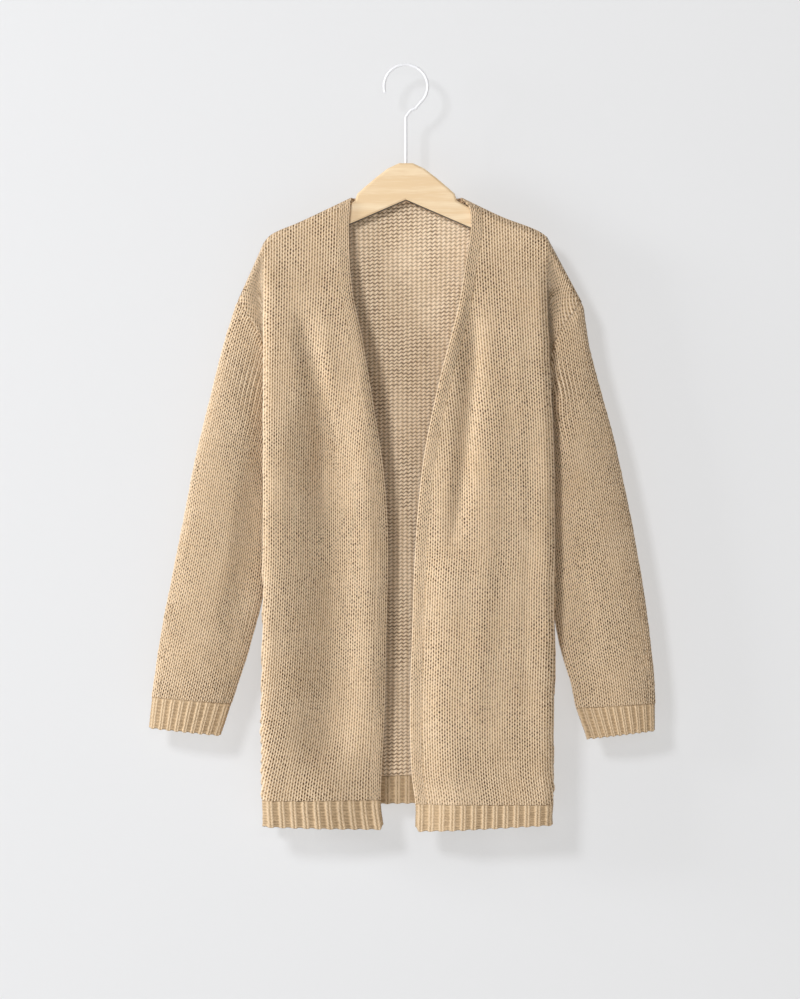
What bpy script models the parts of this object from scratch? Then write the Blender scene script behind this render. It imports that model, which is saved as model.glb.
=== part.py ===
"""A child's long open-front cardigan hanging on its wooden hanger.

Every knitted piece is a wall of cloth between two surfaces. Each wall grows from a grid of points on its
middle surface, worked out from the short tables below. Pieces that are sewn together share the points of
their seam, so they lean the same way there, and each is then pulled back by half of the seam gap.

Frame: metres, +Z up, the fronts face -Y, +X is on the right of someone who looks at the fronts. The origin is
the inside of the hook's top, where the hook bears on a rail or a nail.
"""

import math
from collections import defaultdict, namedtuple

import bpy
from mathutils import Vector

# Cloth
WALL = 0.003
RIB_WALL = 0.0034
SEAM_PULL = 0.00025

# Hanger: flat wood with a round wire hook
WOOD_THICKNESS = 0.012
WOOD_EDGE_ROUND = 0.0022
WIRE_RADIUS = 0.0016
HOOK_RADIUS = 0.024
HOOK_START = math.radians(-48.0)
HOOK_END = math.radians(196.0)
HOOK_STEM_TOP = -0.056
HOOK_POINTS = 26

# Heights
UNDERARM_Z = -0.440
SHOULDER_ROUND = 0.009  # how far below the shoulder line the cloth has turned to lie flat

# How the rows and columns of points are spread over a piece
UPPER_STEPS = (0.0, 0.016, 0.045, 0.09, 0.16, 0.27, 0.40, 0.54, 0.68, 0.82, 0.93, 0.975, 1.0)
LOWER_STEPS = (0.0, 0.01, 0.03, 0.10, 0.22, 0.36, 0.52, 0.68, 0.84, 1.0)
RIB_STEPS = (0.0, 0.5, 1.0)
SIDE_STEPS = (1.0, 0.75, 0.5, 0.25)
FRONT_STEPS = (0.0, 0.025, 0.08, 0.18, 0.31, 0.45, 0.59, 0.73, 0.85, 0.93, 0.975, 1.0)
NECK_STEPS = (0.04, 0.12, 0.36, 0.64, 0.88, 0.96)
SLEEVE_STEPS = (0.0, 0.0175, 0.04, 0.08, 0.14, 0.23, 0.34, 0.46, 0.58, 0.70, 0.82, 0.92, 1.0)

SLEEVE_BLEND = 0.18  # share of a sleeve over which the armhole's own shape fades

CREST_ROUND = 0.012  # across, where a panel turns at the side
CREST_DROP = 0.011  # how much nearer to the hanger's plane the outermost line is than the panel
BACK_CREST_SHARE = 0.6  # how much of that the back has
EDGE_ROLL = 0.011  # across, where a front's free edge rolls back
EDGE_DROP = 0.007  # how far back it rolls
SIDE_SWELL = 0.004  # outward bulge of the cloth between a crest and the side seam
CREASE_ROUND = 0.0018  # how far the crease before a sleeve is hollowed in behind the crest
VALLEY_DEPTH = 0.0035  # between the body and the drop of the shoulder

# How far the panels stand before and behind the hanger's plane
Depth = namedtuple("Depth", "z front back")
DEPTHS = (
    Depth(-0.140, 0.0090, 0.0088),
    Depth(-0.200, 0.0100, 0.0092),
    Depth(-0.250, 0.0180, 0.0120),
    Depth(-0.310, 0.0250, 0.0150),
    Depth(-0.400, 0.0290, 0.0175),
    Depth(-0.520, 0.0290, 0.0180),
    Depth(-0.680, 0.0275, 0.0180),
    Depth(-0.845, 0.0265, 0.0180),
)

Place = namedtuple("Place", "x z")
Seam = namedtuple("Seam", "x z front back")
Fold = namedtuple("Fold", "height width top bottom xs")  # xs: its line, at even steps from top to bottom
Ring = namedtuple("Ring", "outer_x outer_z inner_x inner_z depth skew")

# One side of the cardigan. x is positive away from the middle on both sides, and `hand` puts it right.
Side = namedtuple(
    "Side",
    "name hand shoulder crest edge edge_lean lean_reach armhole side_seam back_crest folds "
    "rib_z hem_crest_z hem_edge_z rings cuff_rings",
)

LEFT = Side(
    name="left",
    hand=-1.0,
    shoulder=(
        Place(0.0600, -0.1450),
        Place(0.117, -0.172),
        Place(0.147, -0.185),
        Place(0.1565, -0.195),
        Place(0.165, -0.211),
        Place(0.175, -0.235),
        Place(0.1845, -0.2575),
    ),
    crest=(Place(0.1565, -0.14), Place(0.1565, -0.60), Place(0.1585, -0.70), Place(0.157, -0.84)),
    edge=(
        Place(0.0600, -0.145),
        Place(0.0625, -0.178),
        Place(0.0590, -0.246),
        Place(0.0480, -0.301),
        Place(0.0370, -0.367),
        Place(0.0250, -0.444),
        Place(0.0200, -0.521),
        Place(0.0220, -0.631),
        Place(0.0240, -0.719),
        Place(0.0280, -0.807),
        Place(0.0240, -0.840),
    ),
    edge_lean=0.014,
    lean_reach=0.075,
    armhole=(
        Seam(0.1845, -0.2575, 0.0, 0.0),
        Seam(0.1827, -0.2603, 0.0036, 0.0034),
        Seam(0.1755, -0.2715, 0.0068, 0.0064),
        Seam(0.1650, -0.2880, 0.0070, 0.0085),
        Seam(0.1570, -0.3060, 0.0050, 0.0095),
        Seam(0.1530, -0.3400, 0.0035, 0.0100),
        Seam(0.1515, -0.3900, 0.0030, 0.0090),
        Seam(0.1500, -0.4240, 0.0035, 0.0070),
        Seam(0.1485, -0.4365, 0.0030, 0.0035),
        Seam(0.1470, -0.4400, 0.0, 0.0),
    ),
    side_seam=(
        Place(0.1470, -0.440),
        Place(0.1432, -0.4437),
        Place(0.1415, -0.451),
        Place(0.1330, -0.480),
        Place(0.1200, -0.55),
        Place(0.1130, -0.66),
        Place(0.1110, -0.845),
    ),
    back_crest=(
        Place(0.1565, -0.14),
        Place(0.1555, -0.21),
        Place(0.1450, -0.29),
        Place(0.1440, -0.43),
        Place(0.1530, -0.52),
        Place(0.1550, -0.845),
    ),
    folds=(
        Fold(-0.0190, 0.028, -0.33, -0.80, (0.090, 0.085, 0.083, 0.084, 0.088)),
        Fold(-0.0095, 0.013, -0.24, -0.52, (0.119, 0.107, 0.0945, 0.092, 0.092)),
        Fold(0.0030, 0.012, -0.30, -0.75, (0.050, 0.043, 0.038, 0.040)),
    ),
    rib_z=-0.8065,
    hem_crest_z=-0.8350,
    hem_edge_z=-0.8390,
    rings=(
        Ring(0.1845, -0.2575, 0.1470, -0.4400, 0.0085, 1.0),
        Ring(0.1870, -0.2650, 0.1508, -0.4437, 0.0085, 1.0),
        Ring(0.1900, -0.2745, 0.1522, -0.4510, 0.0090, 0.95),
        Ring(0.2000, -0.3080, 0.1522, -0.4680, 0.0115, 0.80),
        Ring(0.2145, -0.3660, 0.1515, -0.4920, 0.0135, 0.72),
        Ring(0.2300, -0.4300, 0.1520, -0.5250, 0.0140, 0.75),
        Ring(0.2430, -0.4950, 0.1545, -0.5620, 0.0140, 0.85),
        Ring(0.2560, -0.5600, 0.1615, -0.6000, 0.0135, 0.95),
        Ring(0.2680, -0.6200, 0.1740, -0.6450, 0.0125, 1.0),
        Ring(0.2770, -0.6800, 0.1880, -0.6880, 0.0120, 1.0),
    ),
    cuff_rings=(
        Ring(0.2790, -0.6940, 0.1925, -0.7010, 0.0115, 1.0),
        Ring(0.2825, -0.7280, 0.2040, -0.7365, 0.0105, 1.0),
    ),
)

RIGHT = Side(
    name="right",
    hand=1.0,
    shoulder=(
        Place(0.0610, -0.1450),
        Place(0.105, -0.166),
        Place(0.145, -0.1815),
        Place(0.1575, -0.191),
        Place(0.167, -0.203),
        Place(0.178, -0.230),
        Place(0.1925, -0.2585),
    ),
    crest=(
        Place(0.1545, -0.14),
        Place(0.1545, -0.25),
        Place(0.1575, -0.335),
        Place(0.1615, -0.42),
        Place(0.1630, -0.55),
        Place(0.1620, -0.70),
        Place(0.1605, -0.84),
    ),
    edge=(
        Place(0.0610, -0.145),
        Place(0.0695, -0.157),
        Place(0.0712, -0.178),
        Place(0.0660, -0.213),
        Place(0.0570, -0.268),
        Place(0.0370, -0.345),
        Place(0.0210, -0.422),
        Place(0.0140, -0.480),
        Place(0.0095, -0.545),
        Place(0.0065, -0.631),
        Place(0.0045, -0.700),
        Place(0.0060, -0.774),
        Place(0.0105, -0.812),
        Place(0.0100, -0.842),
    ),
    edge_lean=0.016,
    lean_reach=0.050,
    armhole=(
        Seam(0.1925, -0.2585, 0.0, 0.0),
        Seam(0.1910, -0.2612, 0.0036, 0.0034),
        Seam(0.1850, -0.2700, 0.0068, 0.0064),
        Seam(0.1735, -0.2840, 0.0070, 0.0085),
        Seam(0.1630, -0.3030, 0.0045, 0.0095),
        Seam(0.1570, -0.3400, 0.0030, 0.0100),
        Seam(0.1560, -0.3900, 0.0025, 0.0090),
        Seam(0.1550, -0.4240, 0.0030, 0.0070),
        Seam(0.1535, -0.4365, 0.0028, 0.0035),
        Seam(0.1520, -0.4400, 0.0, 0.0),
    ),
    side_seam=(
        Place(0.1520, -0.440),
        Place(0.1482, -0.4437),
        Place(0.1465, -0.451),
        Place(0.1380, -0.480),
        Place(0.1250, -0.55),
        Place(0.1180, -0.66),
        Place(0.1160, -0.845),
    ),
    back_crest=(
        Place(0.1545, -0.14),
        Place(0.1545, -0.21),
        Place(0.1490, -0.29),
        Place(0.1490, -0.43),
        Place(0.1580, -0.52),
        Place(0.1590, -0.845),
    ),
    folds=(
        Fold(-0.0085, 0.011, -0.23, -0.56, (0.074, 0.073, 0.067, 0.059, 0.050)),
        Fold(0.0025, 0.014, -0.30, -0.76, (0.100, 0.092, 0.083, 0.070)),
    ),
    rib_z=-0.8110,
    hem_crest_z=-0.8330,
    hem_edge_z=-0.8415,
    rings=(
        Ring(0.1925, -0.2585, 0.1520, -0.4400, 0.0090, 1.0),
        Ring(0.1942, -0.2660, 0.1558, -0.4437, 0.0090, 1.0),
        Ring(0.1955, -0.2760, 0.1572, -0.4510, 0.0095, 1.0),
        Ring(0.2010, -0.3100, 0.1572, -0.4680, 0.0120, 1.0),
        Ring(0.2130, -0.3560, 0.1565, -0.4920, 0.0135, 1.0),
        Ring(0.2270, -0.4070, 0.1565, -0.5250, 0.0140, 1.0),
        Ring(0.2410, -0.4700, 0.1585, -0.5650, 0.0140, 1.0),
        Ring(0.2545, -0.5400, 0.1640, -0.6080, 0.0135, 1.0),
        Ring(0.2650, -0.6080, 0.1700, -0.6400, 0.0130, 1.0),
        Ring(0.2720, -0.6700, 0.1820, -0.6800, 0.0120, 1.0),
    ),
    cuff_rings=(
        Ring(0.2735, -0.7010, 0.1875, -0.7060, 0.0115, 1.0),
        Ring(0.2735, -0.7310, 0.2000, -0.7400, 0.0105, 1.0),
    ),
)

BACK_NECK_Z = -0.1465
BACK_NECK_TURN = 0.004  # across, where the back's neck edge leaves the shoulder seam
BACK_RIB_Z = -0.781  # in the middle; at the sides the back's levels are the fronts'
BACK_HEM_Z = -0.812
BACK_FOLDS = (
    Fold(-0.0080, 0.045, -0.34, -0.90, (-0.008, -0.010, -0.010)),
    Fold(-0.0040, 0.020, -0.30, -0.78, (-0.080, -0.074, -0.085)),
    Fold(-0.0045, 0.018, -0.28, -0.76, (0.060, 0.070, 0.066)),
)

# Half of the hanger's outline. x from its middle, top edge then lower edge.
WOOD_TOP = (
    Place(0.0075, -0.1072),
    Place(0.0200, -0.1130),
    Place(0.0330, -0.1230),
    Place(0.0465, -0.1345),
    Place(0.0535, -0.1408),
    Place(0.0562, -0.1486),
    Place(0.0640, -0.1530),
    Place(0.1000, -0.1710),
    Place(0.1340, -0.1870),
)
WOOD_TIP = Place(0.1360, -0.1990)
WOOD_TIP_RADIUS = 0.0105
WOOD_APEX_Z = -0.1480
WOOD_TIP_STEPS = 6

# Colours, with roughness and metallic
YARN = ((0.58, 0.43, 0.27, 1.0), 0.9, 0.0)
WOOD = ((0.85, 0.62, 0.33, 1.0), 0.45, 0.0)
STEEL = ((0.80, 0.80, 0.80, 1.0), 0.25, 1.0)


def clamp(value, low=0.0, high=1.0):
    return max(low, min(high, value))


def ease(start, end, value):
    """0 at start, 1 at end, smooth between, for start above or below end."""
    t = clamp((value - start) / (end - start))
    return t * t * (3.0 - 2.0 * t)


def smooth(knots, at):
    """A smooth curve through (position, value) knots in rising order, held level past its ends."""
    if at <= knots[0][0]:
        return knots[0][1]
    if at >= knots[-1][0]:
        return knots[-1][1]
    k = next(i for i in range(len(knots) - 1) if at <= knots[i + 1][0])

    def slope(i):
        if i in (0, len(knots) - 1):
            near = 1 if i == 0 else i - 1
            return (knots[i][1] - knots[near][1]) / (knots[i][0] - knots[near][0])
        return (knots[i + 1][1] - knots[i - 1][1]) / (knots[i + 1][0] - knots[i - 1][0])

    width = knots[k + 1][0] - knots[k][0]
    t = (at - knots[k][0]) / width
    t2, t3 = t * t, t * t * t
    return (
        (2 * t3 - 3 * t2 + 1) * knots[k][1]
        + (t3 - 2 * t2 + t) * width * slope(k)
        + (3 * t2 - 2 * t3) * knots[k + 1][1]
        + (t3 - t2) * width * slope(k + 1)
    )


def by_height(rows, column, z):
    """The named column of a table that runs downwards, at height z."""
    return smooth([(-row.z, getattr(row, column)) for row in rows], -z)


def along(rows, share):
    """The point at this share of the way along a table's rows, measured by length."""
    reach = [0.0]
    for before, after in zip(rows, rows[1:]):
        reach.append(reach[-1] + math.dist(before, after))
    return type(rows[0])(*at_position(rows, reach, share * reach[-1]))


def at_position(rows, knots, at):
    """Each column of a table, read at a position between its rows' positions."""
    return [smooth(list(zip(knots, column)), at) for column in zip(*rows)]


def shoulder_z(side, x):
    """Height of the shoulder line over a point this far from the middle."""
    return smooth([(place.x, place.z) for place in side.shoulder], x)


def fold_relief(folds, x, z):
    """How far the folds lift the cloth here, fading in and out at the ends of their paths."""
    total = 0.0
    for fold in folds:
        fade = ease(fold.top, fold.top - 0.10, z) * ease(fold.bottom, fold.bottom + 0.08, z)
        down = (fold.top - z) / (fold.top - fold.bottom)
        line = smooth([(step / (len(fold.xs) - 1), line_x) for step, line_x in enumerate(fold.xs)], down)
        total += fold.height * fade * math.exp(-(((x - line) / fold.width) ** 2))
    return total


def over_shoulder(depth, below):
    """Depth of the cloth where it comes over the shoulder line, this far below it."""
    turn = 1.0 - clamp(below / SHOULDER_ROUND)
    return depth * math.sqrt(1.0 - turn * turn)


def turn_back(reach, distance):
    """How far a rounded turn has dropped, this far in from its outermost line."""
    left = 1.0 - clamp(distance / reach)
    return 1.0 - math.sqrt(1.0 - left * left)


def front_depth(side, x, z):
    """How far the front stands before the hanger's plane. x is from the middle, on this side."""
    crest, edge = by_height(side.crest, "x", z), by_height(side.edge, "x", z)
    depth = by_height(DEPTHS, "front", z)
    hangs_free = ease(-0.205, -0.27, z)
    side_fade = clamp((crest - x) / 0.03) * clamp((x - edge) / 0.012 + 0.3)
    depth += fold_relief(side.folds, x, z) * side_fade
    depth -= crest_drop(z) * turn_back(CREST_ROUND, crest - x)
    depth -= EDGE_DROP * hangs_free * turn_back(EDGE_ROLL, x - edge)
    depth -= side.edge_lean * ease(-0.30, -0.55, z) * (1.0 - ease(edge, edge + side.lean_reach, x))
    return over_shoulder(depth, shoulder_z(side, x) - z)


def crest_drop(z):
    """The drop to the outermost line, which starts below the hanger's end."""
    return CREST_DROP * ease(-0.195, -0.27, z)


def back_depth(x, z):
    """How far the back stands behind the hanger's plane. x runs from left to right."""
    side = LEFT if x < 0 else RIGHT
    out = abs(x)
    depth = by_height(DEPTHS, "back", z) + fold_relief(BACK_FOLDS, x, z)
    from_crest = by_height(side.back_crest, "x", z) - out
    depth -= BACK_CREST_SHARE * crest_drop(z) * turn_back(CREST_ROUND, from_crest)
    neck = side.shoulder[0].x
    if out >= neck:
        return over_shoulder(depth, shoulder_z(side, out) - z)
    turn = clamp((neck - out) / BACK_NECK_TURN) * SHOULDER_ROUND
    return over_shoulder(depth, shoulder_z(side, neck) - z + turn)


def back_top_z(x):
    """Height of the back's upper edge: the shoulder lines, with the neck edge between them."""
    side = LEFT if x < 0 else RIGHT
    neck = side.shoulder[0].x
    if abs(x) >= neck:
        return shoulder_z(side, abs(x))
    return BACK_NECK_Z + (shoulder_z(side, neck) - BACK_NECK_Z) * ease(neck - 0.02, neck, abs(x))


def side_point(side, share, upper, crest, seam_sign):
    """A point on the cloth between the crest (share 0) and the armhole or side seam (share 1).

    Above the underarm `upper` says how far down the column is. Below it that is None.
    """
    if upper is None:
        seam = Vector((by_height(side.side_seam, "x", crest.z), 0.0, crest.z))
    else:
        seam = armhole_point(side, upper, seam_sign)
    point = crest.lerp(seam, share)
    tuck = math.sin(math.pi * share)
    if upper is None:
        swell = ease(UNDERARM_Z, UNDERARM_Z - 0.08, crest.z)
        point.x += (SIDE_SWELL * swell - (CREASE_ROUND * (1.0 - swell) if seam_sign < 0 else 0.0)) * tuck
    elif seam_sign < 0:
        point.x -= CREASE_ROUND * tuck * ease(0.3, 0.5, upper)
        point.y += VALLEY_DEPTH * tuck * ease(0.02, 0.12, upper) * (1.0 - ease(0.15, 0.32, upper))
    return point


def armhole_point(side, share, face):
    """A point on the armhole seam, on the front (face -1) or the back (face 1)."""
    place = along(side.armhole, share)
    return Vector((place.x, -place.front if face < 0 else place.back, place.z))


def hem_z(side, across):
    """Height of a front's lower edge, from the crest (0) to the free edge (1)."""
    return side.hem_crest_z + (side.hem_edge_z - side.hem_crest_z) * across


def front_rows(side, first, last):
    """Middle surface of one front: rows of points from the side seam to the free edge.

    first and last say which of the levels to make: 0 shoulder, 1 underarm, 2 rib seam, 3 hem.
    """
    rows = []
    for level, steps in enumerate((UPPER_STEPS, LOWER_STEPS, RIB_STEPS)):
        if not first <= level < last:
            continue
        for step in steps if level == first else steps[1:]:
            rows.append(front_row(side, level, step))
    return rows


def level_z(level, step, top, rib, hem):
    """Height of a step of a level, on a column with these ends."""
    ends = (top, UNDERARM_Z, rib, hem)
    return ends[level] + (ends[level + 1] - ends[level]) * step


def top_x(side, across):
    """Where a front's column meets the shoulder line, from the crest (0) to the neck (1)."""
    return side.crest[0].x + (side.edge[0].x - side.crest[0].x) * across


def front_row(side, level, step):
    row = []
    for across in FRONT_STEPS:
        top = top_x(side, across)
        top_z = shoulder_z(side, top)
        z = level_z(level, step, top_z, side.rib_z, hem_z(side, across))
        crest, edge = by_height(side.crest, "x", z), by_height(side.edge, "x", z)
        x = top + (crest + (edge - crest) * across - top) * ease(top_z, top_z - 0.04, z)
        row.append(Vector((x, -front_depth(side, x, z), z)))
    upper = step if level == 0 else None
    row = [side_point(side, share, upper, row[0], -1.0) for share in SIDE_STEPS] + row
    return [Vector((side.hand * p.x, p.y, p.z)) for p in row]


def back_rows(first, last):
    """Middle surface of the back, with rows of points from the left side seam to the right one."""
    rows = []
    for level, steps in enumerate((UPPER_STEPS, LOWER_STEPS, RIB_STEPS)):
        if first <= level < last:
            rows += [back_row(level, step) for step in (steps if level == first else steps[1:])]
    return rows


def back_row(level, step):
    def column_z(across, top):
        side, bow = (LEFT if across < 0.5 else RIGHT), (2.0 * across - 1.0) ** 2
        rib = BACK_RIB_Z + (side.rib_z - BACK_RIB_Z) * bow
        return level_z(level, step, top, rib, BACK_HEM_Z + (side.hem_crest_z - BACK_HEM_Z) * bow)

    tops = [-top_x(LEFT, share) for share in FRONT_STEPS]
    neck_left, neck_right = tops[-1], top_x(RIGHT, 1.0)
    tops += [neck_left + (neck_right - neck_left) * share for share in NECK_STEPS]
    tops += [top_x(RIGHT, share) for share in reversed(FRONT_STEPS)]
    middle = []
    for top in tops:
        across = (top - tops[0]) / (tops[-1] - tops[0])
        z = column_z(across, back_top_z(top))
        left, right = -by_height(LEFT.back_crest, "x", z), by_height(RIGHT.back_crest, "x", z)
        top_z = back_top_z(top)
        x = top + (left + (right - left) * across - top) * ease(top_z, top_z - 0.04, z)
        middle.append(Vector((x, back_depth(x, z), z)))
    ends = []
    upper = step if level == 0 else None
    for side, end in ((LEFT, middle[0]), (RIGHT, middle[-1])):
        crest = Vector((abs(end.x), end.y, end.z))
        points = [side_point(side, share, upper, crest, 1.0) for share in SIDE_STEPS]
        ends.append([Vector((side.hand * p.x, p.y, p.z)) for p in points])
    return ends[0] + middle + ends[1][::-1]


def oval_point(ring, share, face):
    """A point on the front (face -1) or back (face 1) of a plain flattened ring."""
    outer, inner = Vector((ring.outer_x, 0, ring.outer_z)), Vector((ring.inner_x, 0, ring.inner_z))
    swell = math.sin(math.pi * share**ring.skew) ** 0.5 if 0.0 < share < 1.0 else 0.0
    return outer.lerp(inner, share) + Vector((0, face * ring.depth * swell, 0))


def ring_points(side, ring, bow):
    """Points round a sleeve: down its front from the outer line to the inner one, and up its back.

    bow is the share of the armhole's own shape that this ring still has.
    """
    points = []
    shares = UPPER_STEPS + UPPER_STEPS[-2:0:-1]
    for index, share in enumerate(shares):
        face = -1.0 if index < len(UPPER_STEPS) else 1.0
        bend = armhole_point(side, share, face) - oval_point(side.rings[0], share, face)
        points.append(oval_point(ring, share, face) + bend * bow)
    return points


def ring_at(rings, share):
    reach = [0.0]
    for before, after in zip(rings, rings[1:]):
        reach.append(reach[-1] + math.dist(before[:2], after[:2]))
    return Ring(*at_position(rings, reach, share * reach[-1]))


def sleeve_rows(side):
    rings = side.rings + side.cuff_rings[:1]
    rows = []
    for share in SLEEVE_STEPS:
        points = ring_points(side, ring_at(rings, share), 1.0 - ease(0.0, SLEEVE_BLEND, share))
        rows.append([Vector((side.hand * p.x, p.y, p.z)) for p in points])
    return rows


def cuff_rows(side):
    rows = []
    for share in RIB_STEPS:
        points = ring_points(side, ring_at(side.cuff_rings, share), 0.0)
        rows.append([Vector((side.hand * p.x, p.y, p.z)) for p in points])
    return rows


class Cloth:
    """One piece of cloth as a grid on its middle surface. A closed one is a tube."""

    def __init__(self, name, rows, outward, wall=WALL, closed=False, seams=""):
        self.name, self.rows, self.wall, self.closed, self.seams = name, rows, wall, closed, seams
        self.flip = outward < 0
        self.normals = None

    def quads(self):
        count = len(self.rows[0])
        for i in range(len(self.rows) - 1):
            for j in range(count if self.closed else count - 1):
                yield i, j, (j + 1) % count

    def face_normals(self):
        for i, j, k in self.quads():
            corners = (self.rows[i][j], self.rows[i][k], self.rows[i + 1][k], self.rows[i + 1][j])
            normal = (corners[2] - corners[0]).cross(corners[3] - corners[1])
            yield corners, -normal if self.flip else normal

    def pulled_rows(self, leanings):
        """The grid with its sewn edges moved back, square to the plane in which the two walls meet."""
        rows, count = [[p.copy() for p in row] for row in self.rows], len(self.rows[0])
        lines = {
            "top": [((0, j), (1, j)) for j in range(count)],
            "bottom": [((-1, j), (-2, j)) for j in range(count)],
            "start": [((i, 0), (i, 1)) for i in range(len(rows))],
            "end": [((i, -1), (i, -2)) for i in range(len(rows))],
        }
        for word in self.seams.split():
            line, last = lines[word], len(lines[word]) - 1
            for n, ((i, j), (k, m)) in enumerate(line):
                after, before = (n + 1, n - 1) if self.closed else (min(n + 1, last), max(n - 1, 0))
                (a, b), (c, d) = line[after % (last + 1)][0], line[before][0]
                along_seam = self.rows[a][b] - self.rows[c][d]
                square = along_seam.cross(leanings[key(self.rows[i][j])]).normalized()
                inward = self.rows[k][m] - self.rows[i][j]
                rows[i][j] += square * math.copysign(SEAM_PULL, square.dot(inward))
        return rows

    def solid(self, leanings):
        """Vertices and faces of the wall, with its sewn edges pulled back."""
        rows = self.pulled_rows(leanings)
        count = len(rows[0])
        vertices, faces = [], []
        for face in (0.5, -0.5):
            for row, own in zip(rows, self.rows):
                vertices += [p + leanings[key(q)] * self.wall * face for p, q in zip(row, own)]
        inner = len(rows) * count
        last = (len(rows) - 1) * count
        middle = [p for row in self.rows for p in row]

        def add(a, b, c, d, first_diagonal):
            """Two triangles of one quad, split from a to c, or else from b to d."""
            split = ((a, b, c), (a, c, d)) if first_diagonal else ((a, b, d), (b, c, d))
            faces.extend(corners[::-1] if self.flip else corners for corners in split)

        def add_end(a, b):
            """The wall's end face between two points. Pieces that are sewn there split it the same way."""
            add(a, b, inner + b, inner + a, key(middle[a]) < key(middle[b]))

        for i, j, k in self.quads():
            a, b, c, d = i * count + j, i * count + k, (i + 1) * count + k, (i + 1) * count + j
            shorter = (middle[a] - middle[c]).length < (middle[b] - middle[d]).length
            add(a, b, c, d, shorter)
            add(inner + d, inner + c, inner + b, inner + a, not shorter)
        for j in range(count if self.closed else count - 1):
            k = (j + 1) % count
            add_end(k, j)
            add_end(last + j, last + k)
        if not self.closed:
            for i in range(len(rows) - 1):
                a = i * count
                add_end(a, a + count)
                add_end(a + 2 * count - 1, a + count - 1)
        return vertices, faces


def key(point):
    return tuple(round(c * 1e5) for c in point)


def shared_leanings(cloths):
    """One outward direction for each point, the same for every piece that is sewn there."""
    sums = defaultdict(Vector)
    for cloth in cloths:
        for corners, normal in cloth.face_normals():
            for corner in corners:
                sums[key(corner)] += normal
    return {k: total.normalized() for k, total in sums.items()}


def material(name, finish):
    colour, roughness, metallic = finish
    made = bpy.data.materials.new(name)
    made.use_nodes = True
    shader = made.node_tree.nodes["Principled BSDF"]
    shader.inputs["Base Color"].default_value = colour
    shader.inputs["Roughness"].default_value = roughness
    shader.inputs["Metallic"].default_value = metallic
    return made


def add_mesh(name, vertices, faces, finish, parent):
    mesh = bpy.data.meshes.new(name)
    mesh.from_pydata([tuple(v) for v in vertices], [], faces)
    mesh.update()
    mesh.shade_smooth()
    mesh.set_sharp_from_angle(angle=math.radians(50))
    thing = bpy.data.objects.new(name, mesh)
    bpy.context.scene.collection.objects.link(thing)
    mesh.materials.append(material(name, finish))
    thing.parent = parent
    return thing


def hanger_outline():
    """The wood's outline, round the right half and back along the left."""
    top = [Place(0.0, WOOD_TOP[0].z)] + list(WOOD_TOP)
    top_angle, low_angle = math.radians(62), math.radians(-66)
    tip = []
    for step in range(WOOD_TIP_STEPS + 1):
        angle = top_angle + (low_angle - top_angle) * step / WOOD_TIP_STEPS
        across, up = WOOD_TIP_RADIUS * math.cos(angle), WOOD_TIP_RADIUS * math.sin(angle)
        tip.append(Place(WOOD_TIP.x + across, WOOD_TIP.z + up))
    half = top[:-1] + tip
    left = [Place(-p.x, p.z) for p in reversed(half) if p.x > 0]
    return half + [Place(0.0, WOOD_APEX_Z)] + left


def build_hanger(parent):
    outline = hanger_outline()
    count = len(outline)
    half = WOOD_THICKNESS / 2
    vertices = [Vector((p.x, y, p.z)) for y in (-half, half) for p in outline]
    faces = [tuple(range(count)), tuple(reversed(range(count, 2 * count)))]
    faces += [(j, j + count, (j + 1) % count + count, (j + 1) % count) for j in range(count)]
    wood = add_mesh("hanger_body", vertices, [f[::-1] for f in faces], WOOD, parent)
    bevel = wood.modifiers.new("rounded edges", "BEVEL")
    bevel.width = WOOD_EDGE_ROUND
    bevel.segments = 2
    bevel.limit_method = "ANGLE"
    bevel.angle_limit = math.radians(50)


def build_hook(parent):
    """A round wire: a straight stem, then an open ring whose inner top is the origin."""
    centre_z = WIRE_RADIUS - HOOK_RADIUS
    stem_foot = WOOD_TOP[0].z + 0.0003
    route = [Vector((0, 0, z)) for z in (stem_foot, (stem_foot + HOOK_STEM_TOP) / 2, HOOK_STEM_TOP)]
    start = Vector((HOOK_RADIUS * math.cos(HOOK_START), 0, centre_z + HOOK_RADIUS * math.sin(HOOK_START)))
    for t in (0.33, 0.66):
        bend = route[2].lerp(start, t)
        route.append(bend + Vector((0, 0, 0.0018 if t < 0.5 else -0.0012)))
    for step in range(HOOK_POINTS + 1):
        angle = HOOK_START + (HOOK_END - HOOK_START) * step / HOOK_POINTS
        route.append(Vector((HOOK_RADIUS * math.cos(angle), 0, centre_z + HOOK_RADIUS * math.sin(angle))))
    curve = bpy.data.curves.new("hanger_hook", "CURVE")
    curve.dimensions = "3D"
    curve.bevel_depth = WIRE_RADIUS
    curve.bevel_resolution = 2
    curve.use_fill_caps = True
    spline = curve.splines.new("POLY")
    spline.points.add(len(route) - 1)
    for point, place in zip(spline.points, route):
        point.co = (*place, 1.0)
    curve.materials.append(material("hanger_hook", STEEL))
    hook = bpy.data.objects.new("hanger_hook", curve)
    bpy.context.scene.collection.objects.link(hook)
    hook.parent = parent


def all_cloths():
    cloths = []
    for side in (LEFT, RIGHT):
        outward = side.hand
        cloths += [
            Cloth(f"front_{side.name}", front_rows(side, 0, 2), outward, seams="top bottom start"),
            Cloth(f"hem_rib_front_{side.name}", front_rows(side, 2, 3), outward, RIB_WALL, seams="top start"),
            Cloth(f"sleeve_{side.name}", sleeve_rows(side), outward, closed=True, seams="top bottom"),
            Cloth(f"cuff_{side.name}", cuff_rows(side), outward, RIB_WALL, closed=True, seams="top"),
        ]
    cloths += [
        Cloth("back", back_rows(0, 2), 1.0, seams="top bottom start end"),
        Cloth("hem_rib_back", back_rows(2, 3), 1.0, RIB_WALL, seams="top start end"),
    ]
    return cloths


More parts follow.
